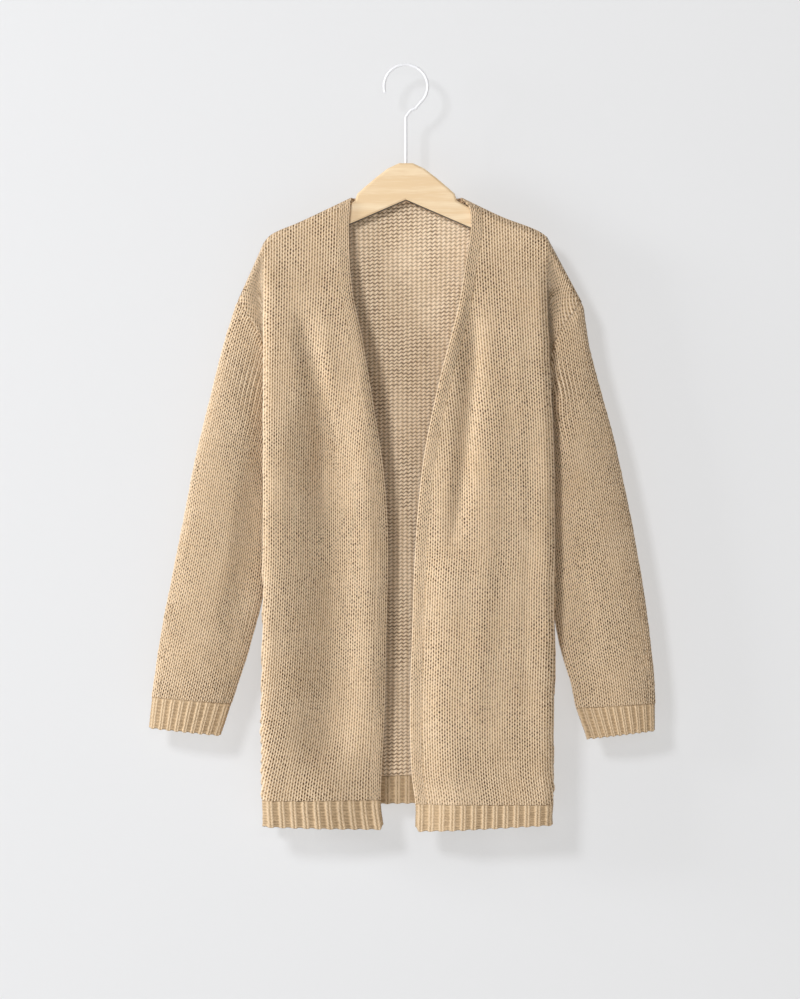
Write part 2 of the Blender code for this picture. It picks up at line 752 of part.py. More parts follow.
def main():
    for thing in list(bpy.data.objects):
        bpy.data.objects.remove(thing)
    cardigan = bpy.data.objects.new("cardigan_on_hanger", None)
    bpy.context.scene.collection.objects.link(cardigan)
    cloths = all_cloths()
    leanings = shared_leanings(cloths)
    for cloth in cloths:
        vertices, faces = cloth.solid(leanings)
        add_mesh(cloth.name, vertices, faces, YARN, cardigan)
    build_hanger(cardigan)
    build_hook(cardigan)


main()
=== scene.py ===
"""Looks of a long open-front cardigan, knitted in stocking stitch, on its wooden hanger.

Each knitted piece is one thin closed shell. Its outside is a grid that follows the wales and courses of the
fabric, raised and hollowed stitch by stitch, and its inside is a second grid joined to the first by a rim.
The forms that carry the stitches are worked out from the tables of sizes below.

Frame: metres, +Z up, the fronts face -Y, +X is on the right of someone who looks at the fronts.
"""

from __future__ import annotations

import logging
import math
from dataclasses import dataclass
from enum import Enum
from functools import cached_property
from typing import NamedTuple

import bpy
import numpy as np
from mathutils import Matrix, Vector


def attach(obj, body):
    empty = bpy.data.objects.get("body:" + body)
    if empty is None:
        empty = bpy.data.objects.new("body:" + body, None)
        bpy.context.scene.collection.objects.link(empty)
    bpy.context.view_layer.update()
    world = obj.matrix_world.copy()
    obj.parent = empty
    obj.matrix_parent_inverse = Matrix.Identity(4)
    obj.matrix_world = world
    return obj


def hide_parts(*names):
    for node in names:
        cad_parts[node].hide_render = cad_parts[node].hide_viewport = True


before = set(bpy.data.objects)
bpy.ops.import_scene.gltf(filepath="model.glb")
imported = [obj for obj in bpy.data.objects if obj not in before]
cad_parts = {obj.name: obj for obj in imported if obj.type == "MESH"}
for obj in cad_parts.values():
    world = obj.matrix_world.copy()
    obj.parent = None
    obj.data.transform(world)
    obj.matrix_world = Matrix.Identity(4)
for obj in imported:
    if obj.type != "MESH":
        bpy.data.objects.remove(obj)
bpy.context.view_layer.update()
Array = np.ndarray
Socket = bpy.types.NodeSocket
log = logging.getLogger("cardigan")

COURSE = 0.00407  # height of one row of stitches
UNDERARM_Z = -0.440
SHOULDER_ROUND = 0.009  # distance over which the cloth comes over the shoulder line
CREST_ROUND = 0.012  # width of the turn at a panel's outermost line
CREST_DROP = 0.011  # how far the front has turned back there
BACK_CREST_SHARE = 0.6  # how much of that the back has
CREST_TURN = (-0.195, -0.27)  # heights between which that turn sets in
EDGE_ROLL = 0.006  # width of the roll along a free edge
EDGE_DROP = 0.0035  # how far it has turned back at the edge
EDGE_TURN = (-0.205, -0.27)  # heights between which it sets in
LEAN_TURN = (-0.30, -0.55)  # heights between which a free edge starts to lean back
FOLD_FADE_SIDE, FOLD_FADE_EDGE = 0.03, 0.012  # distances over which folds flatten towards a front's sides
SIDE_SWELL = 0.004  # how far the cloth swells out beside the side seam
CREASE_ROUND = 0.0018  # how far it is hollowed beside the armhole
VALLEY_DEPTH = 0.0035  # depth of the hollow at the top of the armhole
DRIFT_COURSES, DRIFT_WALES = 5, 4  # size of the cloth's soft unevenness
WANDER = 0.30  # how far it moves stitches along their wales, in courses
SWELL = 0.0006  # how far it lifts the cloth
NORMAL_STEP = 0.0006  # half of the distance over which a form's slope is measured
EDGE_FADE = 0.002  # distance over which stitches lose their relief at a piece's ends
GATHER_ROOM = 0.0012  # room beside a wale line below which its stitches lose their relief
RIB_FADE = 0.6  # courses over which a rib's relief fades
RIB_REACH = 0.93  # how much of its length counts for the fade at its lower edge
HEM_RIB_KEPT = 0.3  # courses of relief that a hem rib keeps at its seam
HEM_SCALLOP = 0.0005  # how far each rib draws the lower edge down
HEM_CORNER = 0.005  # how far a front's lower corner is rounded up
HEM_CORNER_START = 0.955  # where that starts, as a share of the front's width


class Depth(NamedTuple):
    """How far the panels stand before and behind the hanger's plane, at one height."""

    z: float
    front: float
    back: float


class Place(NamedTuple):
    """A place in the hanger's plane, x measured out from the middle."""

    x: float
    z: float


class Seam(NamedTuple):
    """A point of the armhole seam, with its distances before and behind the hanger's plane."""

    x: float
    z: float
    front: float
    back: float


class Fold(NamedTuple):
    """A soft ridge, or a trough where its height is negative, along a line of xs from top to bottom."""

    height: float
    width: float
    top: float
    bottom: float
    xs: tuple[float, ...]


class Ring(NamedTuple):
    """A flattened ring round a sleeve, from its outer line to its inner one."""

    outer_x: float
    outer_z: float
    inner_x: float
    inner_z: float
    depth: float
    skew: float


class Pitch(NamedTuple):
    """Width of one wale at a height."""

    z: float
    width: float


def rows(kind: type[Place | Pitch], *values: tuple[float, float]) -> tuple[Place | Pitch, ...]:
    """A table with rows of one kind."""
    return tuple(kind(*row) for row in values)


class Face(Enum):
    """Which side of the hanger's plane a panel hangs on."""

    FRONT = -1.0
    BACK = 1.0


DEPTHS = (
    Depth(-0.140, 0.0090, 0.0088),
    Depth(-0.200, 0.0100, 0.0092),
    Depth(-0.250, 0.0180, 0.0120),
    Depth(-0.310, 0.0250, 0.0150),
    Depth(-0.400, 0.0290, 0.0175),
    Depth(-0.520, 0.0290, 0.0180),
    Depth(-0.680, 0.0275, 0.0180),
    Depth(-0.845, 0.0265, 0.0180),
)
BACK_NECK_Z = -0.1465
BACK_NECK_TURN = 0.004
BACK_NECK_EASE = 0.02  # distance over which the neck edge comes down from the shoulder line
BACK_RIB_Z = -0.781
BACK_HEM_Z = -0.812
BACK_FOLDS = (
    Fold(-0.0080, 0.045, -0.34, -0.90, (-0.008, -0.010, -0.010)),
    Fold(-0.0040, 0.020, -0.30, -0.78, (-0.080, -0.074, -0.085)),
    Fold(-0.0045, 0.018, -0.28, -0.76, (0.060, 0.070, 0.066)),
    Fold(0.0012, 0.012, -0.36, -0.74, (-0.112, -0.118, -0.110)),
    Fold(0.0014, 0.014, -0.24, -0.56, (0.020, 0.012, 0.006)),
    Fold(-0.0012, 0.010, -0.42, -0.80, (0.112, 0.120, 0.124)),
    Fold(-0.0010, 0.012, -0.50, -0.80, (-0.030, -0.022, -0.030)),
)


def ease(start: float | Array, end: float | Array, value: float | Array) -> Array:
    """A smooth step.

    Args:
        start: where it leaves 0.
        end: where it reaches 1, above or below start.
        value: where it is read.

    Returns:
        The step's height, from 0 to 1.
    """
    t = np.clip((value - start) / (end - start), 0.0, 1.0)
    return t * t * (3.0 - 2.0 * t)


def portion(value: float | Array, whole: float | Array) -> Array:
    """How much of a whole a value makes up, from 0 to 1."""
    return np.clip(value / whole, 0.0, 1.0)


@dataclass(frozen=True)
class Curve:
    """A smooth curve through knots in rising order, held level past its ends."""

    at: tuple[float, ...]
    values: tuple[float, ...]

    @cached_property
    def arrays(self) -> tuple[Array, Array, Array]:
        """The knots' places, values and slopes."""
        at, values = np.array(self.at), np.array(self.values)
        slopes = np.empty(len(at))
        slopes[1:-1] = (values[2:] - values[:-2]) / (at[2:] - at[:-2])
        slopes[0] = (values[1] - values[0]) / (at[1] - at[0])
        slopes[-1] = (values[-1] - values[-2]) / (at[-1] - at[-2])
        return at, values, slopes

    def __call__(self, where: float | Array) -> Array:
        """Read the curve.

        Args:
            where: places along it.

        Returns:
            Its value at each place.
        """
        at, values, slopes = self.arrays
        where = np.clip(np.asarray(where, dtype=float), at[0], at[-1])
        k = np.clip(np.searchsorted(at, where) - 1, 0, len(at) - 2)
        width = at[k + 1] - at[k]
        t = (where - at[k]) / width
        t2 = t * t
        t3 = t2 * t
        start = (2 * t3 - 3 * t2 + 1) * values[k] + (t3 - 2 * t2 + t) * width * slopes[k]
        return start + (3 * t2 - 2 * t3) * values[k + 1] + (t3 - t2) * width * slopes[k + 1]


def falling(rows: tuple[NamedTuple, ...], column: str) -> Curve:
    """Read one column of a table that runs downwards as a curve over -z."""
    return Curve(tuple(-row.z for row in rows), tuple(getattr(row, column) for row in rows))


def along(rows: tuple[NamedTuple, ...], measured: int) -> dict[str, Curve]:
    """Read every column of a table by its share of the way along.

    Args:
        rows: the table.
        measured: how many of its columns count in the length of the way.

    Returns:
        A curve over shares from 0 to 1 for each column's name.
    """
    table = np.array(rows, dtype=float)
    steps = np.linalg.norm(np.diff(table[:, :measured], axis=0), axis=1)
    reach = np.concatenate(([0.0], np.cumsum(steps)))
    shares = tuple(reach / reach[-1])
    return {name: Curve(shares, tuple(table[:, k])) for k, name in enumerate(rows[0]._fields)}


def read_table(table: Array, i: Array, k: Array) -> Array:
    """Read a table at places between its rows (i) and columns (k)."""
    i = np.clip(i, 0, table.shape[0] - 1.001)
    k = np.clip(k, 0, table.shape[1] - 1.001)
    i0, k0 = i.astype(int), k.astype(int)
    down, right = i - i0, k - k0
    near = table[i0, k0] * (1 - right) + table[i0, k0 + 1] * right
    far = table[i0 + 1, k0] * (1 - right) + table[i0 + 1, k0 + 1] * right
    return near * (1 - down) + far * down


def fold_relief(folds: tuple[Fold, ...], x: Array, z: Array) -> Array:
    """Add up folds.

    Args:
        folds: their table.
        x: distances from the middle.
        z: heights.

    Returns:
        How far the folds lift the cloth at each place.
    """
    total = np.zeros(np.broadcast(x, z).shape)
    for fold in folds:
        fade = ease(fold.top, fold.top - 0.10, z) * ease(fold.bottom, fold.bottom + 0.08, z)
        steps = tuple(k / (len(fold.xs) - 1) for k in range(len(fold.xs)))
        line = Curve(steps, fold.xs)((fold.top - z) / (fold.top - fold.bottom))
        total += fold.height * fade * np.exp(-(((x - line) / fold.width) ** 2))
    return total


def over_shoulder(depth: Array, below: Array) -> Array:
    """Depth of the cloth where it comes over the shoulder line, this far below it."""
    turn = 1.0 - portion(below, SHOULDER_ROUND)
    return depth * np.sqrt(1.0 - turn * turn)


def turn_back(reach: float, distance: Array) -> Array:
    """How far a rounded turn has dropped, this far in from its outermost line."""
    left = 1.0 - portion(distance, reach)
    return 1.0 - np.sqrt(1.0 - left * left)


def crest_drop(z: Array) -> Array:
    """The drop to the outermost line of a panel, which starts below the hanger's end."""
    return CREST_DROP * ease(*CREST_TURN, z)


def stack(x: Array, y: Array, z: Array) -> Array:
    """Points from their coordinates."""
    return np.stack(np.broadcast_arrays(x, y, z), axis=-1)


def unit(vectors: Array) -> Array:
    """Vectors scaled to length 1, and none where there was no length."""
    length = np.linalg.norm(vectors, axis=-1, keepdims=True)
    return vectors / np.maximum(length, 1e-12)


@dataclass(frozen=True)
class Side:
    """One side of the cardigan. x is positive away from the middle, and hand puts it right."""

    name: str
    hand: float
    shoulder: tuple[Place, ...]
    crest: tuple[Place, ...]
    edge: tuple[Place, ...]
    edge_lean: float
    lean_reach: float
    armhole: tuple[Seam, ...]
    side_seam: tuple[Place, ...]
    back_crest: tuple[Place, ...]
    folds: tuple[Fold, ...]
    rib_z: float
    hem_crest_z: float
    hem_edge_z: float
    rings: tuple[Ring, ...]
    cuff_rings: tuple[Ring, ...]
    pitches: tuple[Pitch, ...]
    front_ribs: int
    cuff_ribs: int
    sleeve_pitch: float

    @cached_property
    def neck_x(self) -> float:
        """Where the neck edge meets the shoulder line."""
        return self.shoulder[0].x

    @cached_property
    def shoulder_line(self) -> Curve:
        """Height of the shoulder line over x."""
        return Curve(tuple(p.x for p in self.shoulder), tuple(p.z for p in self.shoulder))

    @cached_property
    def top_z(self) -> float:
        """Height at which the outermost line leaves the shoulder."""
        return float(self.shoulder_line(self.crest[0].x))

    @cached_property
    def seam_curves(self) -> dict[str, Curve]:
        """The armhole seam by its share from the shoulder to the underarm."""
        return along(self.armhole, 4)

    def crest_x(self, z: Array, face: Face = Face.FRONT) -> Array:
        """The outermost line of the front or the back."""
        rows = self.crest if face is Face.FRONT else self.back_crest
        return falling(rows, "x")(-z)

    def edge_x(self, z: Array) -> Array:
        """The front's free edge."""
        return falling(self.edge, "x")(-z)

    def armhole_point(self, share: Array, face: Face | Array) -> Array:
        """Points on the armhole seam.

        Args:
            share: from the shoulder (0) to the underarm (1).
            face: one face, or an array of -1 for the front and 1 for the back.

        Returns:
            The points, on this side's own hand.
        """
        curves = self.seam_curves
        sign = face.value if isinstance(face, Face) else face
        y = np.where(np.asarray(sign) < 0, -curves["front"](share), curves["back"](share))
        return stack(curves["x"](share), y, curves["z"](share))

    def front_depth(self, x: Array, z: Array) -> Array:
        """How far the front stands before the hanger's plane."""
        crest, edge = self.crest_x(z), self.edge_x(z)
        side_fade = portion(crest - x, FOLD_FADE_SIDE) * np.clip((x - edge) / FOLD_FADE_EDGE + 0.3, 0, 1)
        depth = falling(DEPTHS, "front")(-z) + fold_relief(self.folds, x, z) * side_fade
        depth -= crest_drop(z) * turn_back(CREST_ROUND, crest - x)
        depth -= EDGE_DROP * ease(*EDGE_TURN, z) * turn_back(EDGE_ROLL, x - edge)
        lean = 1.0 - ease(edge, edge + self.lean_reach, x)
        depth -= self.edge_lean * ease(*LEAN_TURN, z) * lean
        return over_shoulder(depth, self.shoulder_line(x) - z)

    def crest_point(self, z: Array, face: Face) -> Array:
        """Points on the outermost line, on this side's own hand."""
        x = self.crest_x(z, face)
        if face is Face.FRONT:
            return stack(x, -self.front_depth(x, z), z)
        return stack(x, back_depth(x * self.hand, z), z)

    def armhole_share(self, z: Array) -> Array:
        """How far down the armhole a height is, from 0 to 1."""
        return portion(self.top_z - z, self.top_z - UNDERARM_Z)

    def flank_seam(self, z: Array, face: Face) -> Array:
        """Points where the cloth beyond the outermost line is sewn: armhole, then side seam."""
        upper = self.armhole_share(z)
        low = stack(falling(self.side_seam, "x")(-z), 0.0, z)
        return np.where((z > UNDERARM_Z)[..., None], self.armhole_point(upper, face), low)

    def flank_width(self, z: Array, face: Face) -> Array:
        """Width of the cloth between the outermost line and its seam."""
        level = np.minimum(z, self.top_z)
        return np.linalg.norm(self.flank_seam(level, face) - self.crest_point(level, face), axis=-1)

    def flank_rise(self, beyond: Array, level: Array, face: Face, lean: Curve) -> Array:
        """How far up the outermost line the slanting line starts that meets a course beyond it.

        Args:
            beyond: distance out from the outermost line.
            level: height at which the course crosses that line.
            face: front or back.
            lean: how steeply the courses fall outwards, over how far down the seam is.

        Returns:
            How much higher it starts than the course.
        """
        rise = np.zeros(np.broadcast(beyond, level).shape)
        for _ in range(3):
            start = np.minimum(level + rise, self.top_z)
            seam, crest = self.flank_seam(start, face), self.crest_point(start, face)
            run = np.hypot(seam[..., 0] - crest[..., 0], seam[..., 1] - crest[..., 1])
            drop = start - seam[..., 2] - lean(-seam[..., 2]) * run
            rise = drop / self.flank_width(start, face) * beyond
        return rise

    def flank_point(self, share: Array, z: Array, face: Face) -> Array:
        """Points on the cloth between the outermost line (share 0) and its seam (share 1)."""
        z = np.minimum(z, self.top_z)
        crest = self.crest_point(z, face)
        point = crest + (self.flank_seam(z, face) - crest) * share[..., None]
        tuck = np.sin(math.pi * share)
        upper = self.armhole_share(z)
        swell = ease(UNDERARM_Z, UNDERARM_Z - 0.08, z)
        hollow = 1.0 if face is Face.FRONT else 0.0
        low_x = (SIDE_SWELL * swell - CREASE_ROUND * (1.0 - swell) * hollow) * tuck
        high_x = -CREASE_ROUND * tuck * ease(0.3, 0.5, upper) * hollow
        valley = ease(0.02, 0.12, upper) * (1.0 - ease(0.15, 0.32, upper))
        above = z > UNDERARM_Z
        point[..., 0] += np.where(above, high_x, low_x)
        point[..., 1] += np.where(above, VALLEY_DEPTH * tuck * valley * hollow, 0.0)
        return point


LEFT = Side(
    name="left",
    hand=-1.0,
    shoulder=rows(
        Place,
        (0.0600, -0.1450), (0.117, -0.172), (0.147, -0.185), (0.1565, -0.195), (0.165, -0.211),
        (0.175, -0.235), (0.1845, -0.2575),
    ),
    crest=(Place(0.1565, -0.14), Place(0.1565, -0.60), Place(0.1585, -0.70), Place(0.157, -0.84)),
    edge=rows(
        Place,
        (0.0600, -0.145), (0.0625, -0.178), (0.0590, -0.246), (0.0480, -0.301), (0.0370, -0.367),
        (0.0250, -0.444), (0.0200, -0.521), (0.0220, -0.631), (0.0240, -0.719), (0.0280, -0.807),
        (0.0240, -0.840),
    ),
    edge_lean=0.014,
    lean_reach=0.075,
    armhole=(
        Seam(0.1845, -0.2575, 0.0, 0.0),
        Seam(0.1827, -0.2603, 0.0036, 0.0034),
        Seam(0.1755, -0.2715, 0.0068, 0.0064),
        Seam(0.1650, -0.2880, 0.0070, 0.0085),
        Seam(0.1570, -0.3060, 0.0050, 0.0095),
        Seam(0.1530, -0.3400, 0.0035, 0.0100),
        Seam(0.1515, -0.3900, 0.0030, 0.0090),
        Seam(0.1500, -0.4240, 0.0035, 0.0070),
        Seam(0.1485, -0.4365, 0.0030, 0.0035),
        Seam(0.1470, -0.4400, 0.0, 0.0),
    ),
    side_seam=rows(
        Place,
        (0.1470, -0.440), (0.1432, -0.4437), (0.1415, -0.451), (0.1330, -0.480), (0.1200, -0.55),
        (0.1130, -0.66), (0.1110, -0.845),
    ),
    back_crest=rows(
        Place,
        (0.1565, -0.14), (0.1555, -0.21), (0.1450, -0.29), (0.1440, -0.43), (0.1530, -0.52),
        (0.1550, -0.845),
    ),
    folds=(
        Fold(-0.0190, 0.028, -0.33, -0.80, (0.090, 0.085, 0.083, 0.084, 0.088)),
        Fold(-0.0095, 0.013, -0.24, -0.52, (0.119, 0.107, 0.0945, 0.092, 0.092)),
        Fold(0.0030, 0.012, -0.30, -0.75, (0.050, 0.043, 0.038, 0.040)),
        Fold(0.0012, 0.008, -0.34, -0.62, (0.140, 0.138, 0.142)),
        Fold(-0.0010, 0.007, -0.50, -0.80, (0.068, 0.064, 0.070)),
        Fold(0.0008, 0.006, -0.22, -0.40, (0.092, 0.086, 0.078)),
    ),
    rib_z=-0.8065,
    hem_crest_z=-0.8350,
    hem_edge_z=-0.8390,
    rings=(
        Ring(0.1845, -0.2575, 0.1470, -0.4400, 0.0085, 1.0),
        Ring(0.1870, -0.2650, 0.1508, -0.4437, 0.0085, 1.0),
        Ring(0.1900, -0.2745, 0.1522, -0.4510, 0.0090, 0.95),
        Ring(0.2000, -0.3080, 0.1522, -0.4680, 0.0115, 0.80),
        Ring(0.2145, -0.3660, 0.1515, -0.4920, 0.0135, 0.72),
        Ring(0.2300, -0.4300, 0.1520, -0.5250, 0.0140, 0.75),
        Ring(0.2430, -0.4950, 0.1545, -0.5620, 0.0140, 0.85),
        Ring(0.2560, -0.5600, 0.1615, -0.6000, 0.0135, 0.95),
        Ring(0.2680, -0.6200, 0.1740, -0.6450, 0.0125, 1.0),
        Ring(0.2770, -0.6800, 0.1880, -0.6880, 0.0120, 1.0),
    ),
    cuff_rings=(
        Ring(0.2790, -0.6940, 0.1925, -0.7010, 0.0115, 1.0),
        Ring(0.2825, -0.7280, 0.2040, -0.7365, 0.0105, 1.0),
    ),
    pitches=rows(
        Pitch,
        (-0.145, 0.0061), (-0.250, 0.0058), (-0.340, 0.0053), (-0.440, 0.00485), (-0.550, 0.00485),
        (-0.700, 0.0052), (-0.810, 0.0061),
    ),
    front_ribs=14,
    cuff_ribs=18,
    sleeve_pitch=0.0049,
)

RIGHT = Side(
    name="right",
    hand=1.0,
    shoulder=rows(
        Place,
        (0.0610, -0.1450), (0.105, -0.166), (0.145, -0.1815), (0.1575, -0.191), (0.167, -0.203),
        (0.178, -0.230), (0.1925, -0.2585),
    ),
    crest=rows(
        Place,
        (0.1545, -0.14), (0.1545, -0.25), (0.1575, -0.335), (0.1615, -0.42), (0.1630, -0.55),
        (0.1620, -0.70), (0.1605, -0.84),
    ),
    edge=rows(
        Place,
        (0.0610, -0.145), (0.0695, -0.157), (0.0712, -0.178), (0.0660, -0.213), (0.0570, -0.268),
        (0.0370, -0.345), (0.0210, -0.422), (0.0140, -0.480), (0.0095, -0.545), (0.0065, -0.631),
        (0.0045, -0.700), (0.0060, -0.774), (0.0105, -0.812), (0.0100, -0.842),
    ),
    edge_lean=0.016,
    lean_reach=0.050,
    armhole=(
        Seam(0.1925, -0.2585, 0.0, 0.0),
        Seam(0.1910, -0.2612, 0.0036, 0.0034),
        Seam(0.1850, -0.2700, 0.0068, 0.0064),
        Seam(0.1735, -0.2840, 0.0070, 0.0085),
        Seam(0.1630, -0.3030, 0.0045, 0.0095),
        Seam(0.1570, -0.3400, 0.0030, 0.0100),
        Seam(0.1560, -0.3900, 0.0025, 0.0090),
        Seam(0.1550, -0.4240, 0.0030, 0.0070),
        Seam(0.1535, -0.4365, 0.0028, 0.0035),
        Seam(0.1520, -0.4400, 0.0, 0.0),
    ),
    side_seam=rows(
        Place,
        (0.1520, -0.440), (0.1482, -0.4437), (0.1465, -0.451), (0.1380, -0.480), (0.1250, -0.55),
        (0.1180, -0.66), (0.1160, -0.845),
    ),
    back_crest=rows(
        Place,
        (0.1545, -0.14), (0.1545, -0.21), (0.1490, -0.29), (0.1490, -0.43), (0.1580, -0.52),
        (0.1590, -0.845),
    ),
    folds=(
        Fold(-0.0085, 0.011, -0.23, -0.56, (0.074, 0.073, 0.067, 0.059, 0.050)),
        Fold(0.0025, 0.014, -0.30, -0.76, (0.100, 0.092, 0.083, 0.070)),
        Fold(-0.0012, 0.009, -0.36, -0.78, (0.140, 0.134, 0.130)),
        Fold(0.0010, 0.008, -0.48, -0.80, (0.040, 0.036, 0.034)),
        Fold(0.0009, 0.007, -0.22, -0.44, (0.118, 0.122, 0.126)),
    ),
    rib_z=-0.8110,
    hem_crest_z=-0.8330,
    hem_edge_z=-0.8415,
    rings=(
        Ring(0.1925, -0.2585, 0.1520, -0.4400, 0.0090, 1.0),
        Ring(0.1942, -0.2660, 0.1558, -0.4437, 0.0090, 1.0),
        Ring(0.1955, -0.2760, 0.1572, -0.4510, 0.0095, 1.0),
        Ring(0.2010, -0.3100, 0.1572, -0.4680, 0.0120, 1.0),
        Ring(0.2130, -0.3560, 0.1565, -0.4920, 0.0135, 1.0),
        Ring(0.2270, -0.4070, 0.1565, -0.5250, 0.0140, 1.0),
        Ring(0.2410, -0.4700, 0.1585, -0.5650, 0.0140, 1.0),
        Ring(0.2545, -0.5400, 0.1640, -0.6080, 0.0135, 1.0),
        Ring(0.2650, -0.6080, 0.1700, -0.6400, 0.0130, 1.0),
        Ring(0.2720, -0.6700, 0.1820, -0.6800, 0.0120, 1.0),
    ),
    cuff_rings=(
        Ring(0.2735, -0.7010, 0.1875, -0.7060, 0.0115, 1.0),
        Ring(0.2735, -0.7310, 0.2000, -0.7400, 0.0105, 1.0),
    ),
    pitches=rows(
        Pitch,
        (-0.145, 0.0062), (-0.250, 0.0058), (-0.340, 0.0055), (-0.440, 0.0053), (-0.550, 0.00535),
        (-0.650, 0.00545), (-0.810, 0.0054),
    ),
    front_ribs=17,
    cuff_ribs=21,
    sleeve_pitch=0.0049,
)


def side_value(x: Array, left: Array, right: Array) -> Array:
    """Whichever of two values belongs to the side that x is on."""
    return np.where(x < 0, left, right)


def back_crest_x(x: Array, z: Array) -> Array:
    """The back's outermost line, on the side that x is on."""
    return side_value(x, LEFT.crest_x(z, Face.BACK), RIGHT.crest_x(z, Face.BACK))


def back_shoulder(x: Array) -> tuple[Array, Array]:
    """Where the neck edge ends on x's side, and the height of the shoulder line, level inside that."""
    neck = side_value(x, LEFT.neck_x, RIGHT.neck_x)
    sewn = np.maximum(np.abs(x), neck)
    return neck, side_value(x, LEFT.shoulder_line(sewn), RIGHT.shoulder_line(sewn))


def back_depth(x: Array, z: Array) -> Array:
    """How far the back stands behind the hanger's plane. x runs from left to right."""
    out = np.abs(x)
    depth = falling(DEPTHS, "back")(-z) + fold_relief(BACK_FOLDS, x, z)
    depth = depth - BACK_CREST_SHARE * crest_drop(z) * turn_back(CREST_ROUND, back_crest_x(x, z) - out)
    neck, line = back_shoulder(x)
    turn = portion(neck - out, BACK_NECK_TURN) * SHOULDER_ROUND
    return over_shoulder(depth, line - z + turn)


def back_top_z(x: Array) -> Array:
    """Height of the back's upper edge: the shoulder lines, with the neck edge between them."""
    out = np.abs(x)
    neck, line = back_shoulder(x)
    risen = ease(neck - BACK_NECK_EASE, neck, out)
    return np.where(out >= neck, line, BACK_NECK_Z + (line - BACK_NECK_Z) * risen)


@dataclass(frozen=True)
class Relief:
    """Relief of one repeat of a fabric.

    columns: where its columns of points stand across one wale.
    hang: how far each column hangs below its row, in courses.
    chart: for each row of points in a course, how high each column is, from 0 in a hole to 1 on a strand.
    low: height of a hole over the middle of the cloth.
    lift: how much higher a strand is.
    stagger: how far each column's points are moved along the strands, in courses.
    plumb: whether the stitch map counts courses straight down, and not along the strands.
    uneven: how much the lift varies from stitch to stitch.
    mapped: where the columns stand on the stitch map, if not where they stand across the wale.
    """

    columns: tuple[float, ...]
    hang: tuple[float, ...]
    chart: tuple[tuple[float, ...], ...]
    low: float
    lift: float
    stagger: tuple[float, ...] = ()
    plumb: bool = False
    uneven: float = 0.15
    mapped: tuple[float, ...] = ()


QUARTERS, LEGS = (0, 0.25, 0.5, 0.75), (0, 0.75, 1.5, 0.75)
KNIT = Relief(QUARTERS, LEGS, ((0, 0.9, 0, 0.9), (0.4, 1, 0.45, 1)), -0.0003, 0.0020, plumb=True)
KNIT_LATTICE = Relief(QUARTERS, LEGS, ((0.2, 1, 0.2, 1),), -0.0003, 0.0020, (0, 0.5, 0, 0.5), plumb=True)
PURL = Relief((0, 0.5), (0, 0.42), ((0, 0.05), (1, 0.8)), 0.0003, 0.0011)
PLAIN = Relief((0,), (0,), ((0,),), 0.0013, 0.0)
RIB = Relief(
    (0, 0.08, 0.16, 0.22, 0.28, 0.36, 0.44, 0.50, 0.56, 0.64, 0.72, 0.78, 0.84, 0.92),
    (0.3, 0.15, 0, 0, 0.2, 0.5, 0.85, 1.0, 0.85, 0.5, 0.2, 0, 0, 0.15),
    (
        (0.15, 0.15, 0.1, 0.35, 0.8, 0.95, 0.7, 0.45, 0.7, 0.95, 0.8, 0.35, 0.1, 0.15),
        (0.35, 0.3, 0.2, 0.45, 0.85, 1.0, 0.85, 0.65, 0.85, 1.0, 0.85, 0.45, 0.2, 0.3),
    ),
    -0.0002,
    0.0019,
    mapped=(0, 0.04, 0.08, 0.12, 0.17, 0.25, 0.38, 0.5, 0.62, 0.75, 0.83, 0.88, 0.92, 0.96),
)
SEAM_HEIGHT = 0.0003  # how far the cloth stands over its middle where stitches are gathered into a seam


class Strip(NamedTuple):
    """Where wale lines run across a form: their distance, and how far they are from being gathered in."""

    across: Array
    live: Array


class Form:
    """A surface that carries stitches. u counts wales across it and v counts courses down it."""

    wales: int
    courses: int
    closed = False

    def place(self, u: Array, v: Array, hang: Array) -> tuple[Array, Array, Array]:
        """Find points of the fabric.

        Args:
            u: wales across.
            v: courses down.
            hang: how many courses each point hangs below its row.

        Returns:
            Points on the middle surface, its outward normals, and how much relief each point keeps.
        """
        raise NotImplementedError

    def mapped(self, u: Array, z: Array) -> Array:
        """Where wales stand on the stitch map."""
        return u


class SlopedForm(Form):
    """A form given by a function of a distance across and a height, or of two shares."""

    outward = 1.0
    step_a = NORMAL_STEP
    step_b = NORMAL_STEP

    def point(self, a: Array, b: Array) -> Array:
        """Points of the middle surface."""
        raise NotImplementedError

    @property
    def turned(self) -> bool:
        """Whether triangles that run along a and down have to be turned over to face outwards."""
        return (self.outward > 0) == self.closed

    def normal(self, a: Array, b: Array) -> Array:
        """Outward normals, measured from neighbouring points."""
        da = self.point(a + self.step_a, b) - self.point(a - self.step_a, b)
        db = self.point(a, b + self.step_b) - self.point(a, b - self.step_b)
        return unit(np.cross(da, db)) * self.outward


